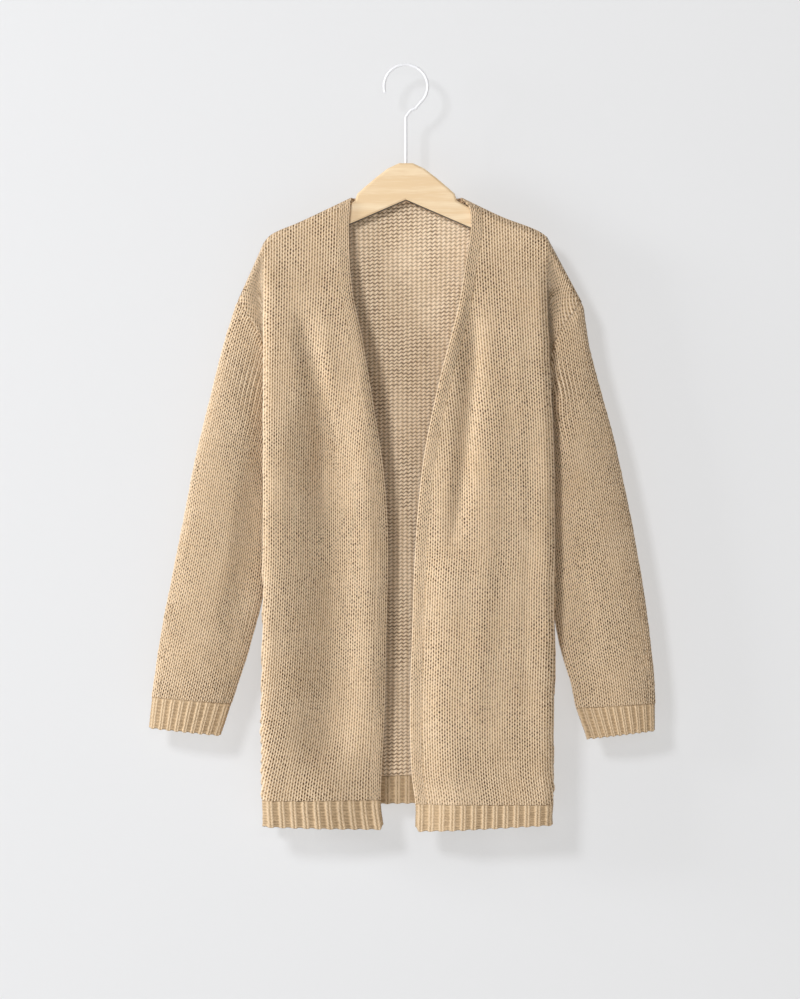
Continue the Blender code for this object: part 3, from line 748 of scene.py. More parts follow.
class PanelForm(SlopedForm):
    """A hanging panel: a is the distance across and b the height."""

    def top(self, a: Array, z: Array) -> Array:
        """Height of the upper edge over each place."""
        raise NotImplementedError

    def bottom(self, a: Array) -> Array:
        """Height of the lower edge under each place."""
        raise NotImplementedError

    def strip(self, u: Array, z: Array) -> Strip:
        """Where the wale lines run at this height."""
        raise NotImplementedError

    def slope(self, a: Array, level: Array) -> Array:
        """How far a course has risen at a place from its level in the middle of the panel."""
        raise NotImplementedError

    def place(self, u: Array, v: Array, hang: Array) -> tuple[Array, Array, Array]:
        """Find points of the fabric. See Form."""
        middle = level = self.start_z - v * COURSE
        for _ in range(3):
            strip = self.strip(u, level)
            level = middle + self.slope(strip.across, middle)
        top, bottom = self.top(strip.across, level), self.bottom(strip.across)
        live = strip.live * portion(top - level, EDGE_FADE) * portion(level - bottom, EDGE_FADE)
        z = level - hang * COURSE * (live > 0)
        across = np.where(live > 0, self.strip(u, np.clip(z, bottom, top)).across, strip.across)
        top, bottom = self.top(across, z), self.bottom(across)
        z = np.clip(z, bottom, top)
        normal = self.normal(across, np.minimum(z, top - 2 * NORMAL_STEP))
        return self.point(across, z), normal, live


def rib_share(v: Array, hang: Array, courses: int) -> Array:
    """How far down a rib its points are, from 0 at the seam to 1 at the lower edge."""
    return np.clip((v + 0.5 * hang * np.minimum(v, 1.0)) / courses, 0.0, 1.0)


def rib_live(v: Array, courses: int, kept: float) -> Array:
    """How much relief a rib's courses have, where so many courses of it are kept at the seam."""
    return portion(np.minimum(v + kept, courses - v * RIB_REACH), RIB_FADE)


def scallop(u: Array) -> Array:
    """How far a rib's lower edge is drawn down under each rib, and up between two of them."""
    return HEM_SCALLOP * np.cos(2 * math.pi * (u - 0.5))


class FrontForm(PanelForm):
    """One front, from its side seam or armhole to its free edge. a is 0 on the outermost line."""

    START_Z = -0.138  # height of the first course, above the shoulder
    FLANK_WALES = 11
    FLANK_PITCH_TOP, FLANK_PITCH_GAIN = 0.0026, 0.0020  # its least pitch, and how much that gains below
    FIELD_WALES = 34
    BAND_WALES = 3
    BAND_PITCH = 0.0041
    BAND_ROOM = 0.004  # room that each wale of the band counts for
    ANCHOR_Z = -0.52
    SEAM_LAP = 0.0012
    FLANK_LEAN = Curve((0.26, 0.29, 0.33, 0.38, 0.44), (0.55, 0.55, 0.25, 0.08, 0.0))

    def __init__(self, side: Side) -> None:
        """Take the side's tables."""
        self.side = side
        self.wales = self.FLANK_WALES + self.FIELD_WALES + self.BAND_WALES
        self.start_z = self.START_Z
        self.courses = int((self.start_z - side.rib_z) / COURSE) + 2
        self.outward = -side.hand
        self.pitch = falling(side.pitches, "width")
        anchor = np.array(self.ANCHOR_Z)
        self.field = float(self.field_width(anchor) / self.pitch(-anchor))

    def field_width(self, z: Array) -> Array:
        """Width between the outermost line and the band along the free edge."""
        return self.side.crest_x(z) - self.side.edge_x(z) - self.BAND_WALES * self.BAND_PITCH

    def strip(self, u: Array, z: Array) -> Strip:
        """Where the wale lines run at this height."""
        pitch, width = self.pitch(-z), self.side.flank_width(z, Face.FRONT)
        band_start = self.field_width(z)
        start = (band_start - self.field * pitch) * ease(self.ANCHOR_Z, self.ANCHOR_Z - 0.05, z)
        least = self.FLANK_PITCH_TOP + self.FLANK_PITCH_GAIN * ease(-0.32, -0.40, z)
        flank_pitch = np.maximum(width / self.FLANK_WALES, least)
        flank = u * flank_pitch - width - self.SEAM_LAP * ease(UNDERARM_Z, UNDERARM_Z + 0.02, z)
        field = start + (u - self.FLANK_WALES) * pitch
        band = band_start + (u - self.FLANK_WALES - self.FIELD_WALES) * self.BAND_PITCH
        in_flank = u < self.FLANK_WALES
        in_band = u >= self.FLANK_WALES + self.FIELD_WALES
        across = np.where(in_flank, np.minimum(flank, start), np.minimum(field, band_start))
        across = np.where(in_band, band, across)
        room = np.where(in_flank, np.minimum(start - flank, flank + width), band_start - field)
        room = np.where(u == self.FLANK_WALES, 0.0, room)
        edge = u - self.FLANK_WALES - self.FIELD_WALES
        room = np.where(in_band, edge * self.BAND_ROOM, room)
        return Strip(across, portion(room, GATHER_ROOM))

    def slope(self, a: Array, level: Array) -> Array:
        """Courses are level on the panel and cross the flank square to its seam."""
        return self.side.flank_rise(np.maximum(-a, 0.0), level, Face.FRONT, self.FLANK_LEAN)

    def mapped(self, u: Array, z: Array) -> Array:
        """Where wales stand on the stitch map.

        Beside the armhole the flank is seen along its surface, and shows one line of holes to a wale.
        """
        beside = ease(-0.40, -0.36, z) * (1.0 - ease(-0.30, -0.24, z))
        return u + 0.5 * np.maximum(self.FLANK_WALES - u, 0.0) * beside

    def top(self, a: Array, z: Array) -> Array:
        """Height of the shoulder line, or of the flank's upper end."""
        line = self.side.shoulder_line(self.side.crest_x(z) - np.maximum(a, 0.0))
        return np.where(a < 0, self.side.top_z, line)

    def bottom(self, a: Array) -> Array:
        """The seam with the rib."""
        return np.full_like(a, self.side.rib_z)

    def point(self, a: Array, b: Array) -> Array:
        """Points of the middle surface."""
        side = self.side
        x = side.crest_x(b) - np.maximum(a, 0.0)
        panel = stack(x, -side.front_depth(x, b), b)
        share = np.clip(-a / side.flank_width(b, Face.FRONT), 0.0, 1.05)
        point = np.where((a < 0)[..., None], side.flank_point(share, b, Face.FRONT), panel)
        return point * (side.hand, 1.0, 1.0)


class FrontRibForm(PanelForm):
    """The rib along one front's hem."""

    def __init__(self, side: Side) -> None:
        """Take the side's tables."""
        self.side = side
        self.body = FrontForm(side)
        self.outward = self.body.outward
        self.wales = side.front_ribs
        self.start_z = side.rib_z
        self.courses = 9

    def place(self, u: Array, v: Array, hang: Array) -> tuple[Array, Array, Array]:
        """Find points of the fabric. See Form."""
        side = self.side
        share = rib_share(v, hang, self.courses)
        z = np.full_like(share, side.rib_z)
        for _ in range(2):
            panel = side.crest_x(z) - side.edge_x(z)
            flank = side.flank_width(z, Face.FRONT)
            a = (panel + flank) * u / self.wales - flank
            across = np.clip(a / panel, 0.0, 1.0)
            low = side.hem_crest_z + (side.hem_edge_z - side.hem_crest_z) * across
            low = low - scallop(u) + HEM_CORNER * ease(HEM_CORNER_START, 1.0, across) ** 2
            z = side.rib_z + (low - side.rib_z) * share
        return self.body.point(a, z), self.body.normal(a, z), rib_live(v, self.courses, HEM_RIB_KEPT)


class BackForm(PanelForm):
    """The back, from seam to seam. a runs from left to right along the cloth."""

    START_Z = -0.134  # height of the first course in the middle, above the neck edge
    RISE = 0.06  # how steeply the courses rise to the right
    BOW_X = (0.155, 0.159)  # how far out on the left and right the hem's lines bow
    BAND_ROOM = 0.005  # room that each wale of a band counts for
    BAND_WALES = 3
    FIELD_WALES = 86
    FLANK_LEAN = Curve((0.26, 0.44), (0.12, 0.0))

    def __init__(self) -> None:
        """Work out the grid's size."""
        self.wales = self.FIELD_WALES + 2 * self.BAND_WALES
        self.start_z = self.START_Z
        self.courses = int((self.start_z - LEFT.rib_z) / COURSE) + 4
        self.outward = -1.0
        self.pitch = Curve((0.14, 0.30, 0.50, 0.81), (0.0054, 0.0052, 0.0051, 0.0053))

    @staticmethod
    def ends(z: Array) -> list[Array]:
        """How far the left and the right seam are from the middle, along the cloth."""
        return [s.crest_x(z, Face.BACK) + s.flank_width(z, Face.BACK) for s in (LEFT, RIGHT)]

    def slope(self, a: Array, level: Array) -> Array:
        """The courses rise to the right, and cross the flanks almost level."""
        rise = self.RISE * a
        for side in (LEFT, RIGHT):
            beyond = np.maximum(side.hand * a - side.crest_x(level, Face.BACK), 0.0)
            rise = rise + side.flank_rise(beyond, level + self.RISE * a, Face.BACK, self.FLANK_LEAN)
        return rise

    def strip(self, u: Array, z: Array) -> Strip:
        """Where the wale lines run at this height."""
        pitch = self.pitch(-z)
        ends = self.ends(z)
        band = self.BAND_WALES * pitch
        last = self.FIELD_WALES + self.BAND_WALES
        field = (u - self.wales / 2) * pitch
        across = np.clip(field, band - ends[0], ends[1] - band)
        across = np.where(u < self.BAND_WALES, u * pitch - ends[0], across)
        across = np.where(u > last, ends[1] - (self.wales - u) * pitch, across)
        room = np.minimum(field - band + ends[0], ends[1] - band - field)
        edge = np.minimum(np.abs(u - self.BAND_WALES), np.abs(u - last)) * self.BAND_ROOM
        edge = np.minimum(edge, np.minimum(u, self.wales - u) * self.BAND_ROOM)
        room = np.where((u <= self.BAND_WALES) | (u >= last), edge, room)
        return Strip(across, portion(room, GATHER_ROOM))

    def top(self, a: Array, z: Array) -> Array:
        """Height of the upper edge."""
        ends = side_value(a, LEFT.top_z, RIGHT.top_z)
        return np.where(np.abs(a) > back_crest_x(a, z), ends, np.maximum(back_top_z(a), ends))

    def level(self, a: Array, middle: float, ends: tuple[float, float]) -> Array:
        """Height of a line that bows from the middle to both outermost lines."""
        bow = np.clip(a / side_value(a, *self.BOW_X), -1.0, 1.0) ** 2
        return middle + (side_value(a, *ends) - middle) * bow

    def bottom(self, a: Array) -> Array:
        """The seam with the rib."""
        return self.level(a, BACK_RIB_Z, (LEFT.rib_z, RIGHT.rib_z))

    def point(self, a: Array, b: Array) -> Array:
        """Points of the middle surface."""
        panel = stack(a, back_depth(a, b), b)
        for side in (LEFT, RIGHT):
            beyond = side.hand * a - side.crest_x(b, Face.BACK)
            share = np.clip(beyond / side.flank_width(b, Face.BACK), 0.0, 1.0)
            flank = side.flank_point(share, b, Face.BACK) * (side.hand, 1.0, 1.0)
            panel = np.where((beyond > 0)[..., None], flank, panel)
        return panel


class BackRibForm(PanelForm):
    """The rib along the back's hem."""

    def __init__(self) -> None:
        """Work out the grid's size."""
        self.body = BackForm()
        self.outward = self.body.outward
        self.wales = 37
        self.courses = 8

    def place(self, u: Array, v: Array, hang: Array) -> tuple[Array, Array, Array]:
        """Find points of the fabric. See Form."""
        share = rib_share(v, hang, self.courses)
        z = np.full_like(share, BACK_RIB_Z)
        for _ in range(3):
            left, right = self.body.ends(z)
            a = (left + right) * u / self.wales - left
            rib = self.body.bottom(a)
            hem = self.body.level(a, BACK_HEM_Z, (LEFT.hem_crest_z, RIGHT.hem_crest_z))
            hem = hem - scallop(u)
            z = rib + (hem - rib) * share
        return self.body.point(a, z), self.body.normal(a, z), rib_live(v, self.courses, HEM_RIB_KEPT)


class TubeForm(SlopedForm):
    """A flattened tube. a goes once round it from 0 to 2, front first, and b runs down it from 0 to 1."""

    closed = True
    step_a = 0.004
    step_b = 0.002
    BLEND = 0.18
    TUCK = 0.5  # how much flatter the front of a sleeve lies beside the body

    def __init__(self, side: Side, rings: tuple[Ring, ...], bowed: bool) -> None:
        """Take the rings.

        Args:
            side: the side that the tube is on.
            rings: its rings from top to bottom.
            bowed: whether its top follows the armhole seam.
        """
        self.side = side
        self.curves = along(rings, 2)
        self.bowed = bowed
        self.outward = side.hand

    def oval(self, share: Array, sign: Array, ring: dict[str, Array]) -> Array:
        """Points of a plain flattened ring."""
        x = ring["outer_x"] + (ring["inner_x"] - ring["outer_x"]) * share
        z = ring["outer_z"] + (ring["inner_z"] - ring["outer_z"]) * share
        swell = np.sqrt(np.clip(np.sin(math.pi * share ** ring["skew"]), 0.0, 1.0))
        return stack(x, sign * ring["depth"] * swell, z)

    def point(self, a: Array, b: Array) -> Array:
        """Points of the middle surface."""
        a = np.mod(a, 2.0)
        sign = np.where(a < 1.0, -1.0, 1.0)
        share = np.where(a < 1.0, a, 2.0 - a)
        point = self.oval(share, sign, {name: curve(b) for name, curve in self.curves.items()})
        if self.bowed:
            beside = ease(0.0, 0.12, b) * (1.0 - ease(0.65, 0.9, b)) * ease(0.5, 0.85, share)
            point[..., 1] *= 1.0 - self.TUCK * beside * (sign < 0)
            first = {name: np.array(value) for name, value in self.side.rings[0]._asdict().items()}
            bend = self.side.armhole_point(share, sign) - self.oval(share, sign, first)
            point = point + bend * (1.0 - ease(0.0, self.BLEND, b))[..., None]
        return point * (self.side.hand, 1.0, 1.0)


class SleeveForm(TubeForm):
    """A sleeve, with two wales along both of its side lines and the rest gathered in behind them."""

    FIELD_WALES = 18
    BAND_WALES = 2
    BAND_ROOM = 0.005  # room that each wale of a band counts for
    SHARE_STEPS, WAY_STEPS, LENGTH_STEPS = 65, 81, 601  # sizes of the tables of lengths and widths

    def __init__(self, side: Side) -> None:
        """Take the side's rings and measure how long the sleeve is along each of its lines."""
        super().__init__(side, side.rings + side.cuff_rings[:1], True)
        self.half = self.FIELD_WALES + 2 * self.BAND_WALES
        self.wales = 2 * self.half
        shares, ways = np.linspace(0, 1, self.SHARE_STEPS), np.linspace(0, 1, self.WAY_STEPS)
        points = self.point(*np.meshgrid(shares * 0.999, ways, indexing="ij"))
        steps = np.linalg.norm(np.diff(points, axis=1), axis=-1)
        rise = np.concatenate((np.zeros((len(shares), 1)), np.cumsum(steps[:, ::-1], axis=1)), axis=1)
        self.lengths = rise[:, -1]
        self.grid = np.linspace(0.0, self.lengths.max(), self.LENGTH_STEPS)
        self.table = np.stack([np.interp(self.grid, row, ways[::-1]) for row in rise])
        self.courses = int(self.lengths.max() / COURSE) + 3
        middle = points[self.SHARE_STEPS // 2]
        run = unit(middle[-1] - middle[0])
        steps = np.diff(points, axis=0)
        steps = np.linalg.norm(steps - (steps @ run)[..., None] * run, axis=-1)
        reach = np.concatenate((np.zeros((1, len(ways))), np.cumsum(steps, axis=0)))
        self.ways, self.widths = ways, reach[-1]
        self.places = np.stack([np.interp(shares, row / row[-1], shares) for row in reach.T])

    def way(self, share: Array, up: Array) -> Array:
        """How far down the sleeve a point is.

        Args:
            share: across it.
            up: distance up from the cuff.

        Returns:
            The share from the armhole (0) to the cuff (1).
        """
        row = up / self.grid[-1] * (len(self.grid) - 1)
        return read_table(self.table, share * (self.SHARE_STEPS - 1), row)

    def share(self, local: Array, way: Array) -> tuple[Array, Array]:
        """Where a wale line lies between the outer (0) and the inner line (1), and its room."""
        width = np.interp(way, self.ways, self.widths)
        pitch = self.side.sleeve_pitch
        band = self.BAND_WALES * pitch
        field = width / 2 + (local - self.half / 2) * pitch
        across = np.clip(field, band, width - band)
        across = np.where(local < self.BAND_WALES, local * pitch, across)
        across = np.where(local > self.half - self.BAND_WALES, width - (self.half - local) * pitch, across)
        share = read_table(self.places, way * (self.WAY_STEPS - 1), across / width * (self.SHARE_STEPS - 1))
        room = np.minimum(field - band, width - band - field)
        edge = np.minimum(np.abs(local - self.BAND_WALES), np.abs(local - self.half + self.BAND_WALES))
        outer = (local <= self.BAND_WALES) | (local >= self.half - self.BAND_WALES)
        return share, portion(np.where(outer, edge * self.BAND_ROOM, room), GATHER_ROOM)

    def place(self, u: Array, v: Array, hang: Array) -> tuple[Array, Array, Array]:
        """Find points of the fabric. See Form."""
        behind = u >= self.half
        local = np.where(behind, self.wales - u, u)
        up = self.lengths.max() + 1.5 * COURSE - v * COURSE
        way = self.way(np.full_like(up, 0.5), up)
        for _ in range(3):
            share, live = self.share(local, way)
            way = self.way(share, up)
        total = np.interp(share, np.linspace(0, 1, self.SHARE_STEPS), self.lengths)
        live = live * portion(total - up, EDGE_FADE) * portion(up, EDGE_FADE)
        up = np.clip(up - hang * COURSE * (live > 0), 0.0, total)
        for _ in range(2):
            moved, _ = self.share(local, way)
            share = np.where(live > 0, moved, share)
            way = self.way(share, up)
        a = np.where(behind, 2.0 - share, share)
        way = np.where(up >= total - 1e-4, 0.0, np.clip(way, 0.0, 1.0))
        normal = self.normal(a, np.clip(way, self.step_b, 1 - self.step_b))
        return self.point(a, way), normal, live


class CuffForm(TubeForm):
    """The rib round a wrist."""

    def __init__(self, side: Side) -> None:
        """Take the side's cuff rings."""
        super().__init__(side, side.cuff_rings, False)
        self.wales = side.cuff_ribs
        self.courses = 9

    def place(self, u: Array, v: Array, hang: Array) -> tuple[Array, Array, Array]:
        """Find points of the fabric. See Form."""
        a = np.where(u >= self.wales, 0.0, 2.0 * u / self.wales)
        b = rib_share(v, hang, self.courses)
        point = self.point(a, b)
        point[..., 2] -= scallop(u) * b
        return point, self.normal(a, np.clip(b, 0.05, 0.95)), rib_live(v, self.courses, 0.0)


@dataclass
class Layer:
    """One face of a piece of cloth as a grid of points."""

    points: Array
    stitches: Array
    across_first: Array
    finish: int


def drift(draw: np.random.Generator, shape: tuple[int, int], v: Array, u: Array) -> Array:
    """A soft random field over a piece's courses and wales, between -1 and 1."""
    coarse = draw.uniform(-1, 1, (shape[0] // DRIFT_COURSES + 3, shape[1] // DRIFT_WALES + 3))
    i, k = v / DRIFT_COURSES, u / DRIFT_WALES
    i0, k0 = np.floor(i), np.floor(k)
    return read_table(coarse, i0 + ease(0.0, 1.0, i - i0), k0 + ease(0.0, 1.0, k - k0))


def weave(form: Form, relief: Relief, sign: float, finish: int, draw: np.random.Generator) -> Layer:
    """Lay a fabric's relief on a form.

    Args:
        form: the surface that carries it.
        relief: the fabric.
        sign: 1 for the outside of the form and -1 for its inside.
        finish: number of the material slot.
        draw: random numbers for the unevenness of the stitches.

    Returns:
        The face's grid.
    """
    places, count = np.array(relief.columns), len(relief.columns)
    columns = np.append((np.arange(form.wales)[:, None] + places[None, :]).ravel(), form.wales)
    index = np.append(np.tile(np.arange(count), form.wales), 0)
    steps = len(relief.chart)
    rows = np.arange(form.courses * steps + 1)
    u, v = np.meshgrid(columns, rows / steps)
    stagger = np.array(relief.stagger or (0.0,) * count)[index]
    hang = np.array(relief.hang)[index]
    chart = np.array(relief.chart)[rows % steps][:, index]
    shape = form.courses + 2, form.wales + 1
    inside = np.clip(np.minimum(u, form.wales - u) / 3.0, 0.0, 1.0)
    wander = WANDER * inside * drift(draw, shape, v, u)
    points, normals, live = form.place(u, v, hang + stagger + wander)
    uneven = 1.0 + relief.uneven * draw.uniform(-1, 1, shape)
    uneven = uneven[np.floor(v).astype(int), np.floor(u).astype(int)]
    soft = SWELL * inside * drift(draw, shape, v, u)
    height = SEAM_HEIGHT + (relief.low + relief.lift * chart * uneven + sign * soft - SEAM_HEIGHT) * live
    points = points + normals * (sign * height)[..., None]
    if form.closed:
        points[:, -1] = points[:, 0]
    course = v + stagger + hang * relief.plumb * (live > 0)
    moved = np.array(relief.mapped or relief.columns) - places
    wale = form.mapped(u + moved[index], points[..., 2])
    return Layer(points, np.stack((wale, course), axis=-1), np.diff(hang) > 0, finish)


class Shell:
    """A closed mesh put together from an outer and an inner layer."""

    WELD = 2e-5

    def __init__(self, outer: Layer, inner: Layer, closed: bool, turned: bool) -> None:
        """Join two layers.

        Args:
            outer: the outside.
            inner: the inside, turned to face the other way.
            closed: whether the layers go all the way round.
            turned: whether the outer layer's faces have to be turned over.
        """
        self.outer, self.inner, self.closed, self.turned = outer, inner, closed, turned

    @staticmethod
    def triangles(layer: Layer, first: int, turned: bool) -> Array:
        """The layer's triangles, split along its strands.

        Args:
            layer: the layer.
            first: number of its first point.
            turned: whether the triangles are turned over.

        Returns:
            One row of three point numbers for each triangle.
        """
        rows, columns = layer.points.shape[:2]
        ids = np.arange(rows * columns).reshape(rows, columns) + first
        a, b, c, d = ids[:-1, :-1], ids[:-1, 1:], ids[1:, 1:], ids[1:, :-1]
        down = np.broadcast_to(layer.across_first, a.shape)
        one = np.where(down[..., None], np.stack((a, d, b), -1), np.stack((a, d, c), -1))
        two = np.where(down[..., None], np.stack((b, d, c), -1), np.stack((a, c, b), -1))
        found = np.concatenate((one.reshape(-1, 3), two.reshape(-1, 3)))
        return found[:, ::-1] if turned else found

    @staticmethod
    def rim(outer: Array, inner: Array, turned: bool) -> list[tuple[int, int, int]]:
        """Join two edges with different numbers of points.

        Args:
            outer: point numbers along the outer edge.
            inner: point numbers along the inner edge, in the same direction.
            turned: whether the triangles are turned over.

        Returns:
            The triangles between them.
        """
        found = []
        i = k = 0
        last_i, last_k = len(outer) - 1, len(inner) - 1
        while i < last_i or k < last_k:
            if k == last_k or (i < last_i and (i + 1) * last_k <= (k + 1) * last_i):
                found.append((outer[i], outer[i + 1], inner[k]))
                i += 1
            else:
                found.append((outer[i], inner[k + 1], inner[k]))
                k += 1
        return [t[::-1] for t in found] if turned else found

    def build(self, name: str) -> bpy.types.Object:
        """Make the object.

        Args:
            name: its name.

        Returns:
            The object, linked into the scene.
        """
        outer, inner = self.outer, self.inner
        first = outer.points[..., 0].size
        points = np.concatenate((outer.points.reshape(-1, 3), inner.points.reshape(-1, 3)))
        stitches = np.concatenate((outer.stitches.reshape(-1, 2), inner.stitches.reshape(-1, 2)))
        outer_ids = np.arange(first).reshape(outer.points.shape[:2])
        inner_ids = np.arange(inner.points[..., 0].size).reshape(inner.points.shape[:2]) + first
        edges = self.rim(outer_ids[0], inner_ids[0], self.turned)
        edges += self.rim(outer_ids[-1], inner_ids[-1], not self.turned)
        if not self.closed:
            edges += self.rim(outer_ids[:, 0], inner_ids[:, 0], not self.turned)
            edges += self.rim(outer_ids[:, -1], inner_ids[:, -1], self.turned)
        faces = [
            self.triangles(outer, 0, self.turned),
            self.triangles(inner, first, not self.turned),
            np.array(edges, dtype=int),
        ]
        finishes = np.repeat((outer.finish, inner.finish, outer.finish), [len(f) for f in faces])
        corners = np.concatenate(faces)
        keys = np.round(points / self.WELD).astype(np.int64)
        _, keep, welded = np.unique(keys, axis=0, return_index=True, return_inverse=True)
        ids = welded.reshape(-1)[corners]
        real = (ids[:, 0] != ids[:, 1]) & (ids[:, 1] != ids[:, 2]) & (ids[:, 2] != ids[:, 0])
        return self.mesh_object(name, points[keep], ids[real], stitches[corners[real]], finishes[real])

    @staticmethod
    def mesh_object(
        name: str, points: Array, faces: Array, stitches: Array, finishes: Array
    ) -> bpy.types.Object:
        """Write arrays into a new mesh.

        Args:
            name: the object's name.
            points: its points.
            faces: its triangles.
            stitches: wale and course of each corner of each triangle.
            finishes: material slot of each triangle.

        Returns:
            The object, linked into the scene.
        """
        mesh = bpy.data.meshes.new(name)
        mesh.vertices.add(len(points))
        mesh.vertices.foreach_set("co", points.astype(np.float32).ravel())
        mesh.loops.add(faces.size)
        mesh.loops.foreach_set("vertex_index", faces.astype(np.int32).ravel())
        mesh.polygons.add(len(faces))
        mesh.polygons.foreach_set("loop_start", np.arange(0, faces.size, 3, dtype=np.int32))
        mesh.polygons.foreach_set("material_index", finishes.astype(np.int32))
        layer = mesh.uv_layers.new(name="Stitches")
        layer.uv.foreach_set("vector", stitches.astype(np.float32).ravel())
        mesh.update(calc_edges=True)
        mesh.validate()
        mesh.shade_smooth()
        return add_object(name, mesh)


def add_object(name: str, data: bpy.types.ID) -> bpy.types.Object:
    """Put a new object into the scene."""
    made = bpy.data.objects.new(name, data)
    bpy.context.scene.collection.objects.link(made)
    return made


class Nodes:
    """Short ways to add and join nodes of one tree."""

    def __init__(self, tree: bpy.types.NodeTree) -> None:
        """Take the tree."""
        self.tree = tree

    def feed(self, node: bpy.types.Node, inputs: dict[str | int, object]) -> None:
        """Give sockets of a node their values, or join them to other nodes' outputs."""
        for name, value in inputs.items():
            if isinstance(value, Socket):
                self.tree.links.new(value, node.inputs[name])
            else:
                node.inputs[name].default_value = value

    def add(
        self, kind: str, inputs: dict[str | int, object] | None = None, **settings: object
    ) -> bpy.types.Node:
        """Add a node.

        Args:
            kind: its type, without the ShaderNode that all begin with.
            inputs: for its sockets, a value or another node's output socket.
            settings: its own properties.

        Returns:
            The node.
        """
        node = self.tree.nodes.new("ShaderNode" + kind)
        for name, value in settings.items():
            setattr(node, name, value)
        self.feed(node, inputs or {})
        return node

    def place(self) -> Socket:
        """Where a point is on its object."""
        return self.add("TexCoord").outputs["Object"]

    def noise(self, place: Socket, scale: float, detail: float, **more: float) -> bpy.types.Node:
        """A noise texture. more: values of its other sockets."""
        return self.add("TexNoise", {"Vector": place, "Scale": scale, "Detail": detail, **more})

    def math(self, operation: str, *values: object) -> Socket:
        """The result of a Math node on numbers or sockets."""
        return self.add("Math", dict(enumerate(values)), operation=operation).outputs[0]

    def step(self, value: object, low: float, high: float, start: float = 0.0, end: float = 1.0) -> Socket:
        """A smooth step of a value, from start at low to end at high."""
        inputs = {0: value, 1: low, 2: high, 3: start, 4: end}
        return self.add("MapRange", inputs, interpolation_type="SMOOTHSTEP", clamp=True).outputs[0]

    def mix(self, factor: object, first: object, second: object) -> Socket:
        """Two colours mixed."""
        return self.add("Mix", {0: factor, 6: first, 7: second}, data_type="RGBA").outputs[2]


def new_material(name: str) -> tuple[bpy.types.Material, Nodes, bpy.types.Node]:
    """Start a material.

    Args:
        name: its name.

    Returns:
        The material, its nodes, and the shader among them.
    """
    made = bpy.data.materials.new(name)
    made.use_nodes = True
    return made, Nodes(made.node_tree), made.node_tree.nodes["Principled BSDF"]


def new_group(name: str, inputs: dict[str, tuple[str, float | None]], outputs: dict[str, str]) -> Nodes:
    """Start a shader node group.

    Args:
        name: its name.
        inputs: socket type and default value by name.
        outputs: socket type by name.

    Returns:
        The group's nodes, with its Group Input and Group Output in place.
    """
    tree = bpy.data.node_groups.new(name, "ShaderNodeTree")
    for label, (kind, value) in inputs.items():
        socket = tree.interface.new_socket(label, in_out="INPUT", socket_type="NodeSocket" + kind)
        if value is not None:
            socket.default_value = value
    for label, kind in outputs.items():
        tree.interface.new_socket(label, in_out="OUTPUT", socket_type="NodeSocket" + kind)
    tree.nodes.new("NodeGroupInput")
    tree.nodes.new("NodeGroupOutput")
    return Nodes(tree)


